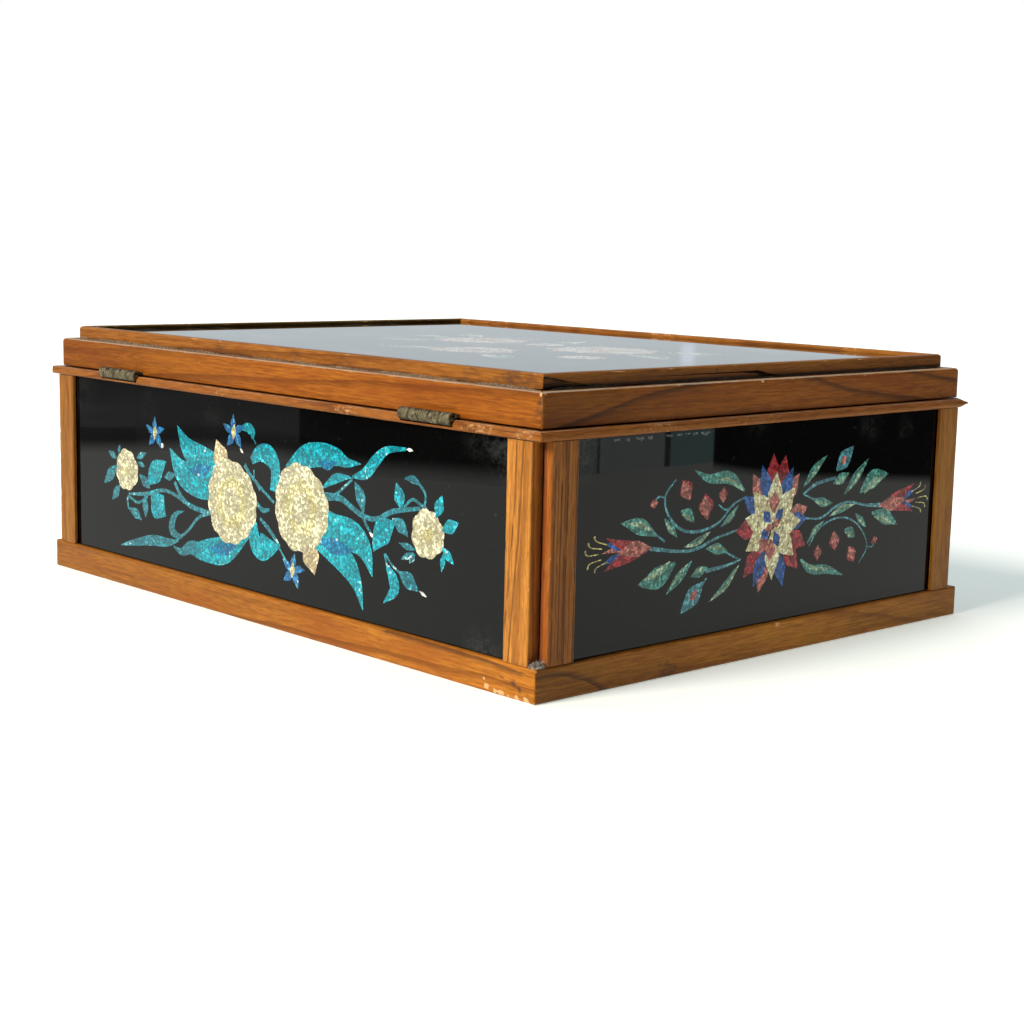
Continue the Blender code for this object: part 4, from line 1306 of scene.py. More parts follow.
def right_spray(picture):
    """Right of the right rose: a crest leaf, a sickle, a double leaf, a branch with a rose."""
    picture.band(
        "turquoise", (13, 11, 2), (22, 15.4, 7), (30, 17, 7.4), (38, 17.2, 5.6), (43, 16, 3.2),
        (49.6, 16.3, 0.3),
    )
    picture.leaf("lagoon", (29, 14.5), (38.5, 16), 3.2, -0.1)
    picture.band(
        "turquoise", (45.6, 12, 0.6), (52, 13.8, 3.6), (57, 18.3, 3.7), (62, 21.6, 2.3), (70.5, 22.8, 0.9),
    )
    picture.leaf("glint", (70.6, 22.8), (73.6, 22.6), 1.0)
    picture.leaf("turquoise", (31, 6.8), (46, 11.6), 3.0, 0.10)
    picture.band("dim_teal", (32, 3.6, 1.6), (38, 6, 1.0), (46, 11.4, 0.8))
    picture.band(
        "dim_teal", (32, 4.6, 2.6), (40, 5, 2.0), (46, 2.8, 1.8), (52, 0.9, 1.6), (58, 1.2, 1.5),
        (65, 4.2, 1.6), (77, 6.6, 1.1),
    )
    picture.leaf("dim_teal", (47, 10.6), (51.2, 1.5), 4.4, 0.08)
    picture.band("dim_teal", (50.6, 1.5, 1.3), (53, -1.8, 1.1), (55, -3.6, 0.8))
    picture.leaf("glint", (54, -3.4), (56.6, -4.8), 1.1)
    picture.band(
        "dim_teal", (69, 5.2, 0.8), (73.5, 8.7, 1.0), (78.4, 7.4, 0.9), (79, 11, 0.9), (76.4, 13.4, 0.9),
    )
    picture.leaf("dim_teal", (77.2, 13.2), (69.6, 14.2), 2.4, -0.10)
    picture.band("dim_teal", (78.6, 7.8, 0.7), (81, 5.4, 0.8), steps=3)
    picture.band(
        "turquoise", (26, -1, 8), (36, -4.6, 9.6), (46, -5.6, 9.6), (52, -9, 6.6), (55.7, -16.3, 0.3),
    )
    picture.band(
        "turquoise", (27, -7, 8), (36, -10.6, 8.6), (44, -14.6, 8.2), (48.6, -20, 4.6), (51.4, -27, 0.3),
    )
    picture.leaf("lagoon", (29, -9), (47, -10), 5.0, -0.03)
    picture.leaf("turquoise", (65.6, 1.2), (56, -8.9), 8.0, -0.10, 0.42)
    picture.leaf("dim_teal", (64.6, 2.0), (71.8, -2.4), 4.2, 0.08)
    picture.leaf("turquoise", (69.0, 5.2), (66.2, 12.8), 4.8)
    picture.band("dim_teal", (61.6, -8.6, 0.7), (64.6, -11.4, 0.7), (69, -13.6, 0.8))
    picture.band("dim_teal", (61.2, -8.6, 0.8), (62.8, -13, 0.8), steps=3)
    picture.band("turquoise", (62.6, -12.2, 1.6), (65.4, -15.8, 4.2), (65.6, -19, 3.8), (61, -23.2, 0.3))
    picture.leaf("dim_teal", (67.8, -13.0), (76.8, -17.4), 5.0, 0.02)
    picture.leaf("glint", (77.2, -17.2), (80.4, -18.4), 1.0)
    small_rose(picture, (80.3, -0.4), 7.3)
    for base, tip, width in (
        ((86.6, 1.6), (93.6, 4.6), 4.2),
        ((83.9, 4.8), (86.4, 11.4), 4.0),
        ((86.6, -3.2), (91.9, -7.4), 2.8),
        ((87.4, -4.8), (86.6, -10.2), 2.2),
    ):
        picture.leaf("turquoise", base, tip, width)
    for base, tip in (
        ((75.2, -5.6), (67.6, -4.6)),
        ((74.4, -6.6), (68.6, -9.2)),
        ((75, -6.8), (72.4, -9.8)),
    ):
        picture.leaf("dim_teal", base, tip, 2.0)
    big_rose(picture, (20.4, -0.5), (27.4, -19.4))


def middle_curls(picture):
    """Between the two roses: an arched leaf above, a broad one below, thin stems and two stars."""
    picture.band(
        "turquoise", (-5.6, 11.4, 2.6), (-1, 14.2, 5.4), (4.0, 13.8, 6.6), (7.2, 10, 5.0), (6.4, 3, 4.0),
    )
    picture.band("turquoise", (-4.4, -8, 3.0), (-3.6, -14, 6.6), (1, -15.4, 8.6), (9.8, -14, 0.4))
    picture.band("dim_teal", (-1, -6.4, 1.0), (4, -9.4, 1.6), (9.6, -13.8, 1.0))
    picture.band("dim_teal", (9.4, -14.6, 0.6), (13.6, -18.4, 0.8), steps=3)
    picture.band("dim_teal", (-9.5, 9.6, 1.8), (-6, 6.6, 1.2), (0, 3, 1.0), (6.5, -0.6, 1.0))
    picture.band("dim_teal", (-3.2, -1.4, 1.0), (0.4, -3.6, 1.6), (4, -3, 0.9))
    picture.band("dim_teal", (-4.4, 8.6, 0.6), (-4.0, 5.6, 0.6), (-1, 2.4, 0.8))
    picture.band("turquoise", (-11, 21.2, 1.4), (-7.6, 21.6, 3.2), (-5.4, 20.4, 3.2), (-5.0, 18.2, 0.8))
    picture.band("dim_teal", (-4.6, 18.4, 0.5), (-3.2, 16.8, 0.6), steps=3)
    star_flower(picture, (-15.4, 19.5), 5.8, 92)
    picture.leaf("glint", (-12.0, 14.6), (-10.2, 13.2), 1.0)
    star_flower(picture, (16.4, -20.4), 5.7, 80)


def edge_scrapes(picture, name, start, end, up):
    """Small bare patches along the upper edge of a pane, where the paint has flaked off."""
    draw = random.Random(name)
    along = start
    while along < end:
        reach = draw.uniform(1.5, 4.5)
        steps = int(reach / 0.3)
        depth = draw.uniform(0.7, 1.4)
        lower = []
        for step in range(steps + 1):
            swell = math.sin(math.pi * (step + 0.5) / (steps + 1)) ** 0.4
            ragged = depth * swell * draw.uniform(0.45, 1.0)
            lower.append(Vector((along + reach * step / steps, up - ragged)))
        picture.add("scrape", [Vector((along, up)), *lower, Vector((along + reach, up))])
        along += reach + draw.uniform(0.6, 2.6)


def long_picture(picture):
    """Two roses side by side, with leaves, stems and small flowers round them."""
    middle_curls(picture)
    left_spray(picture)
    right_spray(picture)


def two_tone_leaf(picture, base, tip, width, bend=0.0, foils=("sage", "moss")):
    """A leaf with its lighter half laid along one edge."""
    picture.leaf(foils[0], base, tip, width, bend)
    base, tip = Vector(base), Vector(tip)
    run = tip - base
    side = Vector((run.y, -run.x)).normalized() * width * 0.20
    near, far = base + run * 0.12 + side, base + run * 0.86 + side * 0.4
    picture.leaf(foils[1], near, far, width * 0.40, bend)


def tulip(picture, base, degrees):
    """A narrow, half open tulip with hooked stamens."""
    for turn, start, foil, reach, width in (
        (0, 2, "rose", 20, 2.4),
        (9, 9, "sapphire", 20, 2.3),
        (-9, 9, "sapphire", 19, 2.3),
        (15, 0, "ruby", 19.5, 3.8),
        (-13, 0, "ruby", 19, 3.4),
        (3, 0, "rose", 14, 4.6),
    ):
        foot = polar(base, start, degrees + turn * 0.8)
        picture.leaf(foil, foot, polar(base, reach, degrees + turn), width, 0.05 if turn < 0 else -0.05)
    for turn, reach in ((9.5, 23), (5.5, 25.5), (0, 26.5), (-5, 25.5), (-9.5, 23.5)):
        hook = 3 if turn > 0 else -3  # degrees
        path = [
            polar(base, reach - 5.5, degrees + 0.8 * turn),
            polar(base, reach - 1.0, degrees + turn),
            polar(base, reach, degrees + turn + hook),
        ]
        picture.add("straw", ribbon(path, (0.3, 0.35, 0.75), 4))


def heart_bud(picture, middle, size, degrees):
    """A small rose-coloured bud with a darker rim."""
    base, tip = polar(middle, 0.5 * size, degrees + 180), polar(middle, 0.55 * size, degrees)
    picture.leaf("ruby", base, tip, 0.86 * size, 0.0, 0.5)
    picture.leaf("rose", base, Vector(base).lerp(Vector(tip), 0.92), 0.66 * size, 0.05, 0.5)


def eye_leaf(picture, base, tip, width):
    """A pale blue leaf with a rose eye."""
    picture.leaf("mist", base, tip, width, 0.0, 0.42)
    base, tip = Vector(base), Vector(tip)
    eye = base.lerp(tip, 0.42)
    near, far = eye + (base - eye) * 0.4, eye + (tip - eye) * 0.3
    picture.leaf("rose", near, far, 0.42 * width, 0.0, 0.5)


def near_spray(picture):
    """Left of the star flower: a tulip on its stem, a curl with buds above, leaves below."""
    picture.band(
        "mist", (-15, -0.6, 0.6), (-25, -2.2, 0.8), (-33, -4.4, 1.0), (-41, -4.4, 0.9), (-53, -2.4, 1.3),
    )
    tulip(picture, (-52.5, -2.3), 179)
    picture.band("mist", (-50.6, 1.2, 0.6), (-47, -1.0, 0.7), steps=3)
    two_tone_leaf(picture, (-50.4, 1.0), (-65.4, 5.8), 4.8, -0.06)
    picture.band(
        "mist", (-12, 9, 0.5), (-18, 7, 0.7), (-24, 2.4, 0.7), (-32, 0.6, 0.9), (-40, 1.7, 0.9),
        (-46, 6.6, 0.8), (-47.4, 12, 0.7), (-43, 16.6, 0.4),
    )
    picture.band("mist", (-47.2, 11.4, 0.5), (-50, 12, 0.6), (-52, 10.6, 0.6), steps=4)
    picture.band("mist", (-24.4, 7.6, 0.5), (-21, 5.8, 0.6), (-17.6, 7, 0.8), steps=4)
    heart_bud(picture, (-52.0, 10.2), 3.2, 190)
    heart_bud(picture, (-38.6, 13.0), 6.6, 120)
    heart_bud(picture, (-29.8, 7.4), 7.4, 100)
    heart_bud(picture, (-22.4, 10.3), 4.6, 90)
    two_tone_leaf(picture, (-40.6, 7.2), (-34.8, 3.2), 3.6, 0.10)
    two_tone_leaf(picture, (-47.4, 5.6), (-41.8, -0.4), 2.8, 0.0)
    two_tone_leaf(picture, (-23.2, 1.0), (-15.4, 7.0), 2.2, -0.06)
    two_tone_leaf(picture, (-27.6, 0.0), (-39, -3.4), 2.3, 0.06, ("moss", "sage"))
    picture.band("sage", (-35.2, 18.4, 0.3), (-29, 15.6, 2.6), (-20, 15.2, 3.8), (-13, 10.8, 0.8))
    picture.band("moss", (-26, 14.9, 0.3), (-20, 14.6, 1.2), (-14, 11.2, 0.6))
    picture.band("mist", (-13.6, -9.6, 0.6), (-20, -10.8, 0.9), (-29, -11.4, 1.2))
    picture.band("mist", (-14.6, -9.4, 0.6), (-20.4, -6.8, 0.6), steps=3)
    two_tone_leaf(picture, (-19.8, -6.6), (-29.4, -4.8), 3.4, -0.04)
    two_tone_leaf(picture, (-28.4, -10.4), (-35.6, -12.4), 3.2, 0.0)
    two_tone_leaf(picture, (-42.3, -7.6), (-57.8, -12.2), 6.4, 0.08)
    two_tone_leaf(picture, (-35.2, -7.8), (-45.8, -16.4), 3.2, 0.0)
    picture.band("mist", (-28.4, -13.4, 0.6), (-30.6, -15.6, 0.8), steps=3)
    eye_leaf(picture, (-30.0, -14.6), (-39.4, -22.8), 5.8)
    two_tone_leaf(picture, (-14.2, -11.2), (-27.2, -20.8), 2.3, 0.06, ("moss", "sage"))


def far_spray(picture):
    """Right of the star flower: the same again, turned half round and a little different."""
    picture.band(
        "mist", (16, 0, 0.6), (24, -0.6, 0.7), (31, 2.2, 0.9), (38, 3.2, 0.8), (46, 1.6, 0.8),
        (55, 0.8, 1.6),
    )
    tulip(picture, (54, 0.8), 2)
    two_tone_leaf(picture, (50.2, -1.2), (64.4, -6.4), 5.0, 0.04)
    picture.band(
        "mist", (18.6, -9, 0.4), (23, -4.2, 0.5), (30, -1.6, 0.6), (38, -2, 0.6), (45, -6, 0.6),
        (48.4, -12, 0.5), (44.6, -17, 0.3),
    )
    picture.band("mist", (48, -11.6, 0.5), (51, -12.4, 0.5), (52.6, -11, 0.5), steps=4)
    heart_bud(picture, (23.2, -11.3), 4.6, 270)
    heart_bud(picture, (31.4, -8.4), 6.0, 280)
    heart_bud(picture, (40.4, -13.5), 5.8, 300)
    heart_bud(picture, (52.4, -10.4), 3.2, 20)
    two_tone_leaf(picture, (36.4, -5.4), (42, -8.4), 3.6, 0.06)
    two_tone_leaf(picture, (41.6, -0.8), (47.8, -5.8), 2.4, 0.0)
    two_tone_leaf(picture, (25.8, -1.6), (17.4, -8.4), 2.2, -0.06)
    two_tone_leaf(picture, (28.4, -0.4), (41.2, 2.2), 2.3, 0.04, ("moss", "sage"))
    picture.band("sage", (14.8, -12.6, 0.8), (20, -16.2, 2.8), (28, -17.2, 2.8), (36.4, -19.8, 0.3))
    picture.band("moss", (16, -13.6, 0.5), (22, -16.2, 1.2), (30, -17, 0.4))
    picture.band("mist", (14.6, 7.4, 0.7), (21, 10.2, 1.1), (30.6, 11.4, 0.9))
    picture.band("mist", (15, 7.4, 0.5), (20, 5.6, 0.6), steps=3)
    two_tone_leaf(picture, (19.6, 5.6), (29.8, 3.6), 3.0, -0.04)
    two_tone_leaf(picture, (29.6, 9.6), (37.4, 12.4), 3.6, 0.0)
    two_tone_leaf(picture, (14.8, 9.8), (26, 18.8), 3.0, 0.04)
    eye_leaf(picture, (30.8, 13.6), (39, 20.8), 5.8)
    two_tone_leaf(picture, (35.4, 5.8), (47.2, 16.4), 3.4, 0.0)
    two_tone_leaf(picture, (43.4, 5.8), (58.2, 10.6), 6.0, 0.10)


def petals(picture, foil, middle, flat, turns, inner, outer, width):
    """Petals of one foil, each between two reaches from the middle of a flower."""
    for degrees in turns:
        base, tip = polar(middle, inner, degrees, flat), polar(middle, outer, degrees, flat)
        picture.leaf(foil, base, tip, width, 0.0, 0.5)


def star_petals(picture):
    """The flower in the middle of an end pane: rings of pointed petals, taller than it is wide."""
    middle, flat = (0.8, -1.0), 0.80
    petals(picture, "ruby", middle, flat, (93, 74), 9, 22, 6.4)
    petals(picture, "rose", middle, flat, (128, 46, 250, 12), 8, 21, 5.6)
    petals(picture, "ruby", middle, flat, (180, 222, 318, 340), 8, 21.5, 6.0)
    petals(picture, "sapphire", middle, flat, (112, 58, 150, 240, 291, 3), 7, 20.5, 5.2)
    petals(picture, "ivory", middle, flat, (86, 137, 168, 203, 272, 322, 2, 42), 1, 16.6, 6.8)
    petals(picture, "rose", middle, flat, (88, 226, 262), 4, 10.5, 5.0)
    petals(picture, "sapphire", middle, flat, (140, 42, 205, 300), 2, 7.6, 3.4)
    petals(picture, "rose", middle, flat, (20, 190), 0, 4.6, 2.8)


def end_picture(picture):
    """A flower like a star between two tulips, and flaked paint at the upper edge."""
    edge_scrapes(picture, "scrapes_near", -69, -54, 29.3)
    edge_scrapes(picture, "scrapes_middle", -48, -31, 29.3)
    near_spray(picture)
    far_spray(picture)
    star_petals(picture)


def lid_picture(picture):
    """A bouquet of pale flowers between pale leaves."""
    for start, end, width, bend in (
        ((-26, 18), (-46, 34), 10, 0.12),
        ((-30, 6), (-52, 4), 9, -0.12),
        ((-22, -4), (-38, -22), 10, 0.10),
        ((16, -36), (-6, -46), 9, -0.12),
        ((14, 22), (6, 42), 10, 0.14),
        ((58, 22), (78, 36), 11, -0.12),
        ((62, 2), (84, -4), 10, 0.12),
        ((40, -40), (58, -50), 10, 0.10),
    ):
        two_tone_leaf(picture, start, end, width, bend, ("fog", "pearl"))
    for middle, radius in (
        ((-14, 8), 17),
        ((44, 10), 19),
        ((24, -30), 15),
        ((14, 12), 7),
        ((66, -22), 8),
    ):
        picture.add("blush", blossom(middle, radius, 9, 0.16, 0.4))
        picture.add("pearl", blossom(middle, 0.86 * radius, 8, 0.18, 0.1))
        picture.add("blush", blossom(middle, 0.30 * radius, 6, 0.2, 0.7))


def dress_pane(node, draw, foil_finishes):
    """Replaces a glass node with a pane that carries its picture."""
    low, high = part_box(node)
    flat = node == "glass_top"
    if flat:
        run, rise, depth = high.x - low.x, high.y - low.y, high.z - low.z
        seat = Matrix.Translation(((low.x + high.x) / 2, (low.y + high.y) / 2, high.z))
        seat = seat @ Matrix.Rotation(-math.pi / 2, 4, "X")
    else:
        turn = turned(side_of(node))
        ends = [turn.inverted() @ corner for corner in (low, high)]
        run, depth = abs(ends[0].x - ends[1].x), abs(ends[0].y - ends[1].y)
        rise = high.z - low.z + 2 * closing()
        along = (ends[0].x + ends[1].x) / 2
        middle = Vector((along, min(ends[0].y, ends[1].y), (low.z + high.z) / 2))
        seat = turn @ Matrix.Translation(middle)
    picture = Painting(run / 2 / MM, rise / 2 / MM)
    draw(picture)
    bm, foils = picture.mesh(depth)
    bm.transform(seat)
    body = frame["nodes"][node]["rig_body"]
    materials = [foil_finishes[foil] for foil in foils]
    add_piece("painted_" + node, bm, materials, body, [node])


def dress_hinge(node, brass):
    """Replaces a brass node with a finer copy, dented a little, bright where it stands proud."""
    bm = whole_faces(node)
    slice_up(bm, (0.9 * MM, 0.6 * MM, 0.6 * MM))
    low, high = corners(bm)
    wear = bm.verts.layers.float.new("wear")
    dirt = bm.verts.layers.float.new("dirt")
    salt = salt_of(node)
    bm.normal_update()
    moved = []
    for vert in bm.verts:
        point = vert.co.copy()
        gaps = gaps_to_faces(point, low, high)
        vert[wear] = ramp(gaps["front"], 1.2 * MM, 0.1 * MM)
        vert[dirt] = 0.9 * ramp(gaps["front"], 2.6 * MM, 3.4 * MM)
        moved.append(point - vert.normal * 0.02 * MM * (1 + rough(point, 1.3 * MM, salt)))
    for vert, place in zip(bm.verts, moved):
        vert.co = place
    body = frame["nodes"][node]["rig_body"]
    add_piece("aged_" + node, bm, [brass], body, [node])


def add_fibre(bm, start, heading, reach, draw):
    """A curly thread of lint, three-sided and pointed at both ends."""
    steps = 7
    radius = sizes().fibre / 2
    place, way = start.copy(), heading.normalized()
    curl = Vector([draw.uniform(-1, 1) for _ in range(3)])
    rings = []
    for index in range(steps + 1):
        side = way.orthogonal().normalized()
        thick = radius * math.sin(math.pi * (index + 0.15) / (steps + 0.3))
        corner = [Matrix.Rotation(math.tau * turn / 3, 3, way) @ side * thick for turn in range(3)]
        rings.append([bm.verts.new(place + offset) for offset in corner])
        place = place + way * reach / steps
        way = (way + curl.cross(way) * 0.55 + Vector((0, 0, -0.10))).normalized()
        curl += Vector([draw.uniform(-0.6, 0.6) for _ in range(3)])
    join_rings(bm, rings)


def add_mound(bm, middle, spread, rise, salt):
    """A low lump of dust, flat below."""
    rows, columns = 7, 18
    rings = []
    for row in range(rows):
        lean = math.pi / 2 * row / rows
        ring = []
        for column in range(columns):
            angle = math.tau * column / columns
            way = Vector((math.cos(angle) * spread.x, math.sin(angle) * spread.y, 0.0))
            place = middle + way * math.cos(lean) + Vector((0.0, 0.0, rise * math.sin(lean)))
            swell = 1 + 0.35 * rough(place, 0.9 * MM, salt)
            ring.append(bm.verts.new(middle + (place - middle) * swell))
        rings.append(ring)
    join_rings(bm, rings)


# Half the length and width of a tuft of lint and its height, and the fibres of the smaller one
TUFT_SPREAD = Vector((1.5 * MM, 1.8 * MM, 0.0))
TUFT_RISE = 0.9 * MM
FEW_FIBRES = 20


def add_tuft(name, middle, fibres, lint):
    """Lint in a corner: a lump with threads standing out of it."""
    spread, rise = TUFT_SPREAD, TUFT_RISE
    bm = bmesh.new()
    draw = random.Random(name)
    add_mound(bm, middle, spread, rise, salt_of(name))
    for _ in range(fibres):
        sideways, forwards = draw.uniform(-1, 1), draw.uniform(-1, 1)
        up = rise * draw.uniform(0.1, 0.9)
        away = Vector((sideways * spread.x, forwards * spread.y, up))
        heading = Vector((away.x * 300, away.y * 300, draw.uniform(0.2, 1.0)))
        add_fibre(bm, middle + away * 0.6, heading, draw.uniform(1.6, 3.2) * MM, draw)
    bmesh.ops.recalc_face_normals(bm, faces=bm.faces)
    add_piece(name, bm, [lint], "root")


def dust_bead(side, width, dust):
    """A ragged ridge of dust along the foot of a bead, on top of the lid frame."""
    bm = bmesh.new()
    salt = salt_of(side)
    turn = turned(side)
    ends = [turn.inverted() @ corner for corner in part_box("bead_" + side)]
    start, end = sorted(end.x for end in ends)
    start, end = start + MM, end - MM
    foot = min(end.y for end in ends) + 0.05 * MM
    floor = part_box("lid_rail_hinge_side")[1].z - 0.05 * MM
    steps = int((end - start) / (0.8 * MM))
    rings = []
    for index in range(steps + 1):
        along = start + (end - start) * index / steps
        place = (along, foot, 0)
        amount = 0.50 + 0.50 * rough(place, 9 * MM, salt) + 0.20 * rough(place, 1.6 * MM, salt)
        amount *= ramp(min(index, steps - index), -1, 5)
        reach = width * max(amount, 0.08)
        rise = 0.65 * reach
        ring = []
        for out, up in ((0, 0), (1, 0), (0.75, 0.40), (0.35, 0.70), (0, 1)):
            place = Vector((along, foot - out * reach, floor + up * rise))
            ring.append(bm.verts.new(turn @ place))
        rings.append(ring)
    join_rings(bm, rings)
    bmesh.ops.recalc_face_normals(bm, faces=bm.faces)
    add_piece("dust_" + side, bm, [dust], "lid")


class DressOperator(bpy.types.Operator):
    """Shared setting of the operators that dress the box"""

    bl_options = {"REGISTER", "UNDO"}


class TRINKETBOX_OT_base(DressOperator):
    """Replace the four base rails with worn ones"""

    bl_idname = "trinket_box.base"
    bl_label = "Base Rails"

    def execute(self, context):
        wood = wood_finish("wall_wood", colours().wall_wood)
        dress_frame("base_rail", Strip(BASE_EDGES, wood, False), base_grime)
        return {"FINISHED"}


class TRINKETBOX_OT_stiles(DressOperator):
    """Replace the eight corner stiles with worn ones"""

    bl_idname = "trinket_box.stiles"
    bl_label = "Corner Stiles"

    def execute(self, context):
        wood = wood_finish("stile_wood", colours().stile_wood)
        for node in STILES:
            stretch = stretch_for(node, 0.0, 2 * closing())
            dress_strip(node, Strip(STILE_EDGES, wood, True), stile_grime, stretch)
        return {"FINISHED"}


class TRINKETBOX_OT_ledges(DressOperator):
    """Replace the four lengths of ledge with worn ones"""

    bl_idname = "trinket_box.ledges"
    bl_label = "Ledges"

    def execute(self, context):
        wood = wood_finish("ledge_wood", colours().ledge_wood)
        dress_frame("ledge", Strip(LEDGE_EDGES, wood, False), ledge_grime, ledge_shape)
        return {"FINISHED"}


class TRINKETBOX_OT_lid_frame(DressOperator):
    """Replace the four lid rails with worn ones"""

    bl_idname = "trinket_box.lid_frame"
    bl_label = "Lid Frame"

    def execute(self, context):
        wood = wood_finish("lid_wood", colours().lid_wood)
        dress_frame("lid_rail", Strip(LID_EDGES, wood, False), lid_grime)
        return {"FINISHED"}


class TRINKETBOX_OT_beads(DressOperator):
    """Replace the four beads of the lid, one of them broken"""

    bl_idname = "trinket_box.beads"
    bl_label = "Lid Beads"

    def execute(self, context):
        wood = wood_finish("bead_wood", colours().bead_wood)
        strip = Strip(BEAD_EDGES, wood, False)
        dress_frame("bead", strip, bead_grime, broken_face, (BROKEN_SIDE,))
        return {"FINISHED"}


class TRINKETBOX_OT_panes(DressOperator):
    """Replace the five glass panes with painted ones"""

    bl_idname = "trinket_box.panes"
    bl_label = "Painted Panes"

    def execute(self, context):
        finishes = {foil: foil_finish(foil) for foil in LONG_FOILS + LID_FOILS + END_FOILS}
        finishes["black"] = black_finish()
        finishes["scrape"] = scrape_finish()
        for_lid = dict(finishes, black=lid_black_finish())
        for side in ("hinge_side", "opening_side"):
            dress_pane("glass_" + side, long_picture, finishes)
        for side in ("right_end", "left_end"):
            dress_pane("glass_" + side, end_picture, finishes)
        dress_pane("glass_top", lid_picture, for_lid)
        return {"FINISHED"}


class TRINKETBOX_OT_boards(DressOperator):
    """Give the bottom board and the backing boards their finish"""

    bl_idname = "trinket_box.boards"
    bl_label = "Boards"

    def execute(self, context):
        lengthwise = board_finish("plain_board", False)
        crosswise = board_finish("plain_end_board", True)
        for node, board in frame["nodes"].items():
            if node.startswith("backing_") or node == "bottom_board":
                board.data.materials.clear()
                board.data.materials.append(crosswise if node.endswith("_end") else lengthwise)
        return {"FINISHED"}


class TRINKETBOX_OT_hinges(DressOperator):
    """Replace the leaves and pins of both hinges with aged ones"""

    bl_idname = "trinket_box.hinges"
    bl_label = "Hinges"

    def execute(self, context):
        brass = brass_finish()
        for node in HINGE_PARTS:
            dress_hinge(node, brass)
        return {"FINISHED"}


class TRINKETBOX_OT_dust(DressOperator):
    """Lay dust along the beads and lint in the corner notches"""

    bl_idname = "trinket_box.dust"
    bl_label = "Dust"

    def execute(self, context):
        lint = dust_finish("lint", colours().lint)
        old_dust = dust_finish("old_dust", [0.6 * value for value in colours().dust])
        # On the broken side the dust ridge is painted nearly black: painted shade at the foot of the bead
        dark_dust = dust_finish("dark_dust", [0.12 * value for value in colours().dust])
        for side in SIDES:
            broken = side == BROKEN_SIDE
            dust_bead(side, (1.5 if broken else 1.2) * MM, dark_dust if broken else old_dust)

        # A notch lies between the outer corners of the two stiles that meet at it
        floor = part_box("base_rail_hinge_side")[1].z - 0.1 * MM
        low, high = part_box("stile_hinge_side_right")
        other_low, other_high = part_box("stile_right_end_hinge")
        notch = Vector(((high.x + other_high.x) / 2, (low.y + other_low.y) / 2, floor))
        add_tuft("lint_hinge_right", notch, sizes().fibres, lint)
        low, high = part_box("stile_opening_side_right")
        other_low, other_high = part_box("stile_left_end_opening")
        notch = Vector(((low.x + other_low.x) / 2, (high.y + other_high.y) / 2, floor))
        add_tuft("lint_opening_left", notch, FEW_FIBRES, lint)
        return {"FINISHED"}


# The stage, in metres. The camera sees the floor and the dark behind it mirrored in two panes:
# upright cards stand where the floor ends in those mirror pictures, and only glass sees them.
# The cards glow and are no lamps: they are painted reflections in the panes
CAMERA_PLACE = Vector((0.46583, -0.42392, 0.12408))
CAMERA_AIM = Vector((-0.72247, 0.67457, -0.15163))
CAMERA_UP = Vector((-0.1264, 0.08676, 0.98818))
CAMERA_LENS = 63.989
SENSOR = 36.0
FLOOR_RADIUS = 14.0
FLOOR_SIDES = 72
FLOOR_RINGS = 11
FLOOR_GROWTH = 1.45
KEY_WAY = Vector((-0.08, -0.82, 0.56))
KEY_SPREAD = math.radians(25)
KEY_POWER = 3.9
KEY_COLOUR = (1.0, 0.93, 0.82)

# An upright card: the line of its foot, its tone, how far its foot fades into the tone of the
# floor, and how high its foot and its top are
Card = namedtuple("Card", "name line tone fade foot top", defaults=(0.0005, 0.16))
FAR_LINE = ((-0.80, 0.10), (-0.47, -0.22), (-0.425, -0.262), (-0.403, -0.296))
SKIRTING_LINE = [(x + 0.002, y + 0.001) for x, y in FAR_LINE]
NEAR_LINE = (
    (-0.403, -0.296), (-0.396, -0.316), (-0.388, -0.333), (-0.353, -0.345), (-0.322, -0.347),
)
DARK_LINE = (
    (-0.322, -0.347), (-0.275, -0.339), (-0.245, -0.342),
    (-0.212, -0.360), (-0.19, -0.369), (0.1, -0.50),
)
RIGHT_LINE = (
    (0.421, 0.3165), (0.394, 0.3155), (0.366, 0.324),
    (0.348, 0.343), (0.323, 0.369), (0.20, 0.50),
)
CARDS = (
    Card("card_far", FAR_LINE, (0.26, 0.26, 0.26), 0.004),
    Card("card_skirting", SKIRTING_LINE, (0.17, 0.17, 0.17), 0.008, 0.0004, 0.014),
    Card("card_near", NEAR_LINE, (0.24, 0.24, 0.24), 0.008),
    Card("card_dark", DARK_LINE, (0.055, 0.055, 0.055), 0.012),
    Card("card_right", RIGHT_LINE, (0.05, 0.05, 0.05), 0.006),
    Card("card_green", ((0.444, 0.225), (0.444, 0.251)), (0.88, 0.96, 0.91), 0.001),
    Card("card_line", ((0.4445, 0.250), (0.4445, 0.2536)), (0.30, 0.31, 0.31), 0.001),
    Card("card_grey", ((0.444, 0.2534), (0.444, 0.3030)), (1.12, 1.15, 1.18), 0.001),
    Card("card_slot", ((0.4445, 0.3025), (0.4445, 0.3082)), (0.22, 0.25, 0.24), 0.001),
    Card("card_teal", ((0.444, 0.3078), (0.444, 0.3530)), (0.68, 1.05, 1.01), 0.001),
)

# A window far behind the box, which the glass of the lid mirrors: a glowing sheet that only mirrors see, a
# painted reflection in the lid
WINDOW_PLACE = Vector((-1.4, 1.680, 0.228))
WINDOW_HALF = Vector((0.0, 0.026, 0.030))
WINDOW_LIGHT = (0.84, 0.90, 0.99)

# The sky: where its bright part lies, its light there and its light on the far side
SKY_WAY = (-0.80, 0.42, 0.43)
SKY_LIGHT = (0.645, 0.71, 0.745)
DIM_LIGHT = (0.03, 0.03, 0.033)


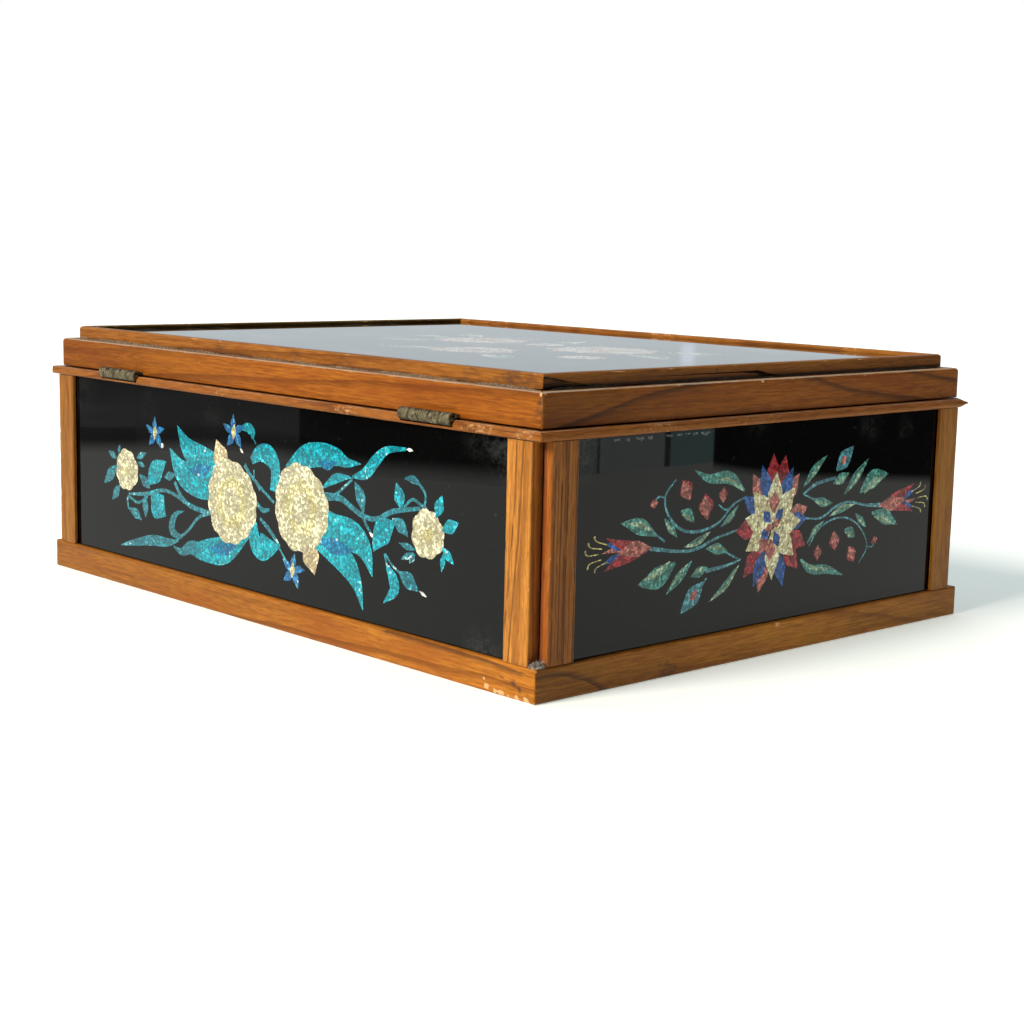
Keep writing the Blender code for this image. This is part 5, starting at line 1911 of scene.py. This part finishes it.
def add_floor():
    """A wide round floor in rings, each wider than the one inside it."""
    bm = bmesh.new()
    reaches = [FLOOR_GROWTH**step for step in range(FLOOR_RINGS)]
    angles = [math.tau * turn / FLOOR_SIDES for turn in range(FLOOR_SIDES)]
    rings = []
    for reach in reaches:
        radius = reach * FLOOR_RADIUS / reaches[-1]
        places = [(radius * math.cos(angle), radius * math.sin(angle), 0.0) for angle in angles]
        rings.append([bm.verts.new(place) for place in places])
    bm.faces.new(rings[0])
    for inner, outer in zip(rings, rings[1:]):
        for turn in range(FLOOR_SIDES):
            after = (turn + 1) % FLOOR_SIDES
            bm.faces.new((inner[turn], outer[turn], outer[after], inner[after]))
    mesh = bpy.data.meshes.new("floor")
    bm.to_mesh(mesh)
    bm.free()
    mesh.materials.append(floor_finish())
    floor = bpy.data.objects.new("floor", mesh)
    bpy.context.scene.collection.objects.link(floor)


def only_mirrored(piece):
    """Hides a card from everything but mirrors."""
    piece.visible_camera = False
    piece.visible_diffuse = False
    piece.visible_shadow = False
    piece.visible_transmission = False


def glow_finish(finish, shade):
    """Turns a finish into plain light of that shade."""
    glow = finish.node("ShaderNodeEmission", {"Color": shade, "Strength": 1.0})
    finish.tree.nodes.remove(finish.surface)
    output = finish.tree.nodes["Material Output"]
    finish.tree.links.new(glow.outputs[0], output.inputs["Surface"])


def add_sheet(name, verts, faces, finish):
    """A thin sheet on the stage that only mirrors see."""
    mesh = bpy.data.meshes.new(name)
    mesh.from_pydata(verts, [], faces)
    mesh.materials.append(finish.material)
    piece = bpy.data.objects.new(name, mesh)
    bpy.context.scene.collection.objects.link(piece)
    only_mirrored(piece)


def add_card(card):
    """An upright card that glows and that only mirrors see: a painted reflection. Its lower edge fades
    into the tone of the floor.
    """
    finish = Finish(card.name)
    place = finish.place()
    up = finish.node("ShaderNodeSeparateXYZ", {0: place}).outputs["Z"]
    streak = finish.drawn_out(place, (4, 4, 45), 2.0)
    light = [2.4 * part for part in card.tone]
    plain = max(card.tone) > 0.5
    shown = finish.ramp(streak, 0.45, 0.75, 0.0, 0.0 if plain else 0.6)
    shade = finish.mix(shown, card.tone, light)
    shade = finish.mix(finish.ramp(up, 0.0, card.fade), (1.05, 1.05, 1.02), shade)
    glow_finish(finish, shade)
    verts, faces = [], []
    for place in smooth_path(card.line, 8):
        verts += [(place.x, place.y, card.foot), (place.x, place.y, card.top)]
    for first in range(0, len(verts) - 2, 2):
        faces.append((first, first + 2, first + 3, first + 1))
    add_sheet(card.name, verts, faces, finish)


def add_window():
    """A bright upright sheet with soft edges, far behind the box: a painted reflection that only mirrors
    see.
    """
    finish = Finish("window")
    place = finish.place()
    parts = finish.node("ShaderNodeSeparateXYZ", {0: place})
    shares = []
    for axis, letter in ((1, "Y"), (2, "Z")):
        away = finish.maths("ABSOLUTE", finish.minus(parts.outputs[letter], WINDOW_PLACE[axis]))
        shares.append(finish.ramp(away, WINDOW_HALF[axis], 0.15 * WINDOW_HALF[axis]))
    glow_finish(finish, finish.mix(finish.times(*shares), SKY_LIGHT, WINDOW_LIGHT))
    ends = (WINDOW_PLACE - WINDOW_HALF, WINDOW_PLACE + WINDOW_HALF)
    verts = [(WINDOW_PLACE.x, ends[a].y, ends[b].z) for a, b in ((0, 0), (1, 0), (1, 1), (0, 1))]
    add_sheet("window", verts, [(0, 1, 2, 3)], finish)


def light_world():
    """A soft sky, bright behind and above the box and dim in front. The camera sees it white."""
    world = bpy.data.worlds.new("soft_sky")
    bpy.context.scene.world = world
    world.use_nodes = True
    tree = world.node_tree
    tree.nodes.clear()

    way = add_node(tree, "ShaderNodeTexCoord").outputs["Generated"]
    inputs = {0: way, 1: SKY_WAY}
    facing = add_node(tree, "ShaderNodeVectorMath", inputs, operation="DOT_PRODUCT")
    inputs = {0: facing.outputs["Value"], 1: -0.10, 2: 0.75}
    share = add_node(tree, "ShaderNodeMapRange", inputs, interpolation_type="SMOOTHSTEP")
    inputs = {0: share.outputs[0], 6: DIM_LIGHT, 7: SKY_LIGHT}
    sky = add_node(tree, "ShaderNodeMix", inputs, data_type="RGBA")
    lit = add_node(tree, "ShaderNodeBackground", {0: sky.outputs[2], 1: 1.0})
    plain = add_node(tree, "ShaderNodeBackground", {0: (1.0, 1.0, 1.0), 1: 1.0})
    seen = add_node(tree, "ShaderNodeLightPath").outputs["Is Camera Ray"]
    inputs = {0: seen, 1: lit.outputs[0], 2: plain.outputs[0]}
    both = add_node(tree, "ShaderNodeMixShader", inputs)
    add_node(tree, "ShaderNodeOutputWorld", {0: both.outputs[0]})


def add_key_light():
    """A soft sun from low in front of the hinge side."""
    light = bpy.data.lights.new("key_light", "SUN")
    light.energy = KEY_POWER
    light.angle = KEY_SPREAD
    light.color = KEY_COLOUR
    lamp = bpy.data.objects.new("key_light", light)
    lamp.location = KEY_WAY * 3
    lamp.rotation_euler = KEY_WAY.to_track_quat("Z", "Y").to_euler()
    bpy.context.scene.collection.objects.link(lamp)


def add_camera():
    """The camera from which the box is seen."""
    camera = bpy.data.cameras.new("camera")
    camera.sensor_width = SENSOR
    camera.lens = CAMERA_LENS
    camera.clip_start = 0.01
    back = -CAMERA_AIM.normalized()
    right = CAMERA_UP.cross(back).normalized()
    up = back.cross(right)
    holder = bpy.data.objects.new("camera", camera)
    turn = Matrix((right, up, back)).transposed().to_4x4()
    holder.matrix_world = Matrix.Translation(CAMERA_PLACE) @ turn
    bpy.context.scene.collection.objects.link(holder)
    bpy.context.scene.camera = holder


class TRINKETBOX_OT_stage(DressOperator):
    """Set up the floor, the light and the camera"""

    bl_idname = "trinket_box.stage"
    bl_label = "Stage"

    def execute(self, context):
        add_floor()
        for card in CARDS:
            add_card(card)
        add_window()
        light_world()
        add_key_light()
        add_camera()
        context.scene.view_settings.view_transform = "Standard"
        return {"FINISHED"}


OPERATORS = (
    TRINKETBOX_OT_base,
    TRINKETBOX_OT_stiles,
    TRINKETBOX_OT_ledges,
    TRINKETBOX_OT_lid_frame,
    TRINKETBOX_OT_beads,
    TRINKETBOX_OT_panes,
    TRINKETBOX_OT_boards,
    TRINKETBOX_OT_hinges,
    TRINKETBOX_OT_dust,
    TRINKETBOX_OT_stage,
)


class TRINKETBOX_PT_finish(bpy.types.Panel):
    """The steps that dress the box, with their sizes and colours"""

    bl_label = "Trinket Box"
    bl_space_type = "VIEW_3D"
    bl_region_type = "UI"
    bl_category = "Trinket Box"

    def draw(self, context):
        layout = self.layout
        for operator in OPERATORS:
            layout.operator(operator.bl_idname)
        for group in (context.scene.trinket_sizes, context.scene.trinket_colours):
            box = layout.box()
            for name in group.bl_rna.properties.keys():
                if name not in ("rna_type", "name"):
                    box.prop(group, name)


CLASSES = (TrinketBoxSizes, TrinketBoxColours, *OPERATORS, TRINKETBOX_PT_finish)


def register():
    for entry in CLASSES:
        bpy.utils.register_class(entry)
    bpy.types.Scene.trinket_sizes = PointerProperty(type=TrinketBoxSizes)
    bpy.types.Scene.trinket_colours = PointerProperty(type=TrinketBoxColours)


def unregister():
    del bpy.types.Scene.trinket_colours
    del bpy.types.Scene.trinket_sizes
    for entry in reversed(CLASSES):
        bpy.utils.unregister_class(entry)


def main():
    register()
    for operator in OPERATORS:
        group, name = operator.bl_idname.split(".")
        getattr(getattr(bpy.ops, group), name)()


if __name__ == "__main__":
    main()
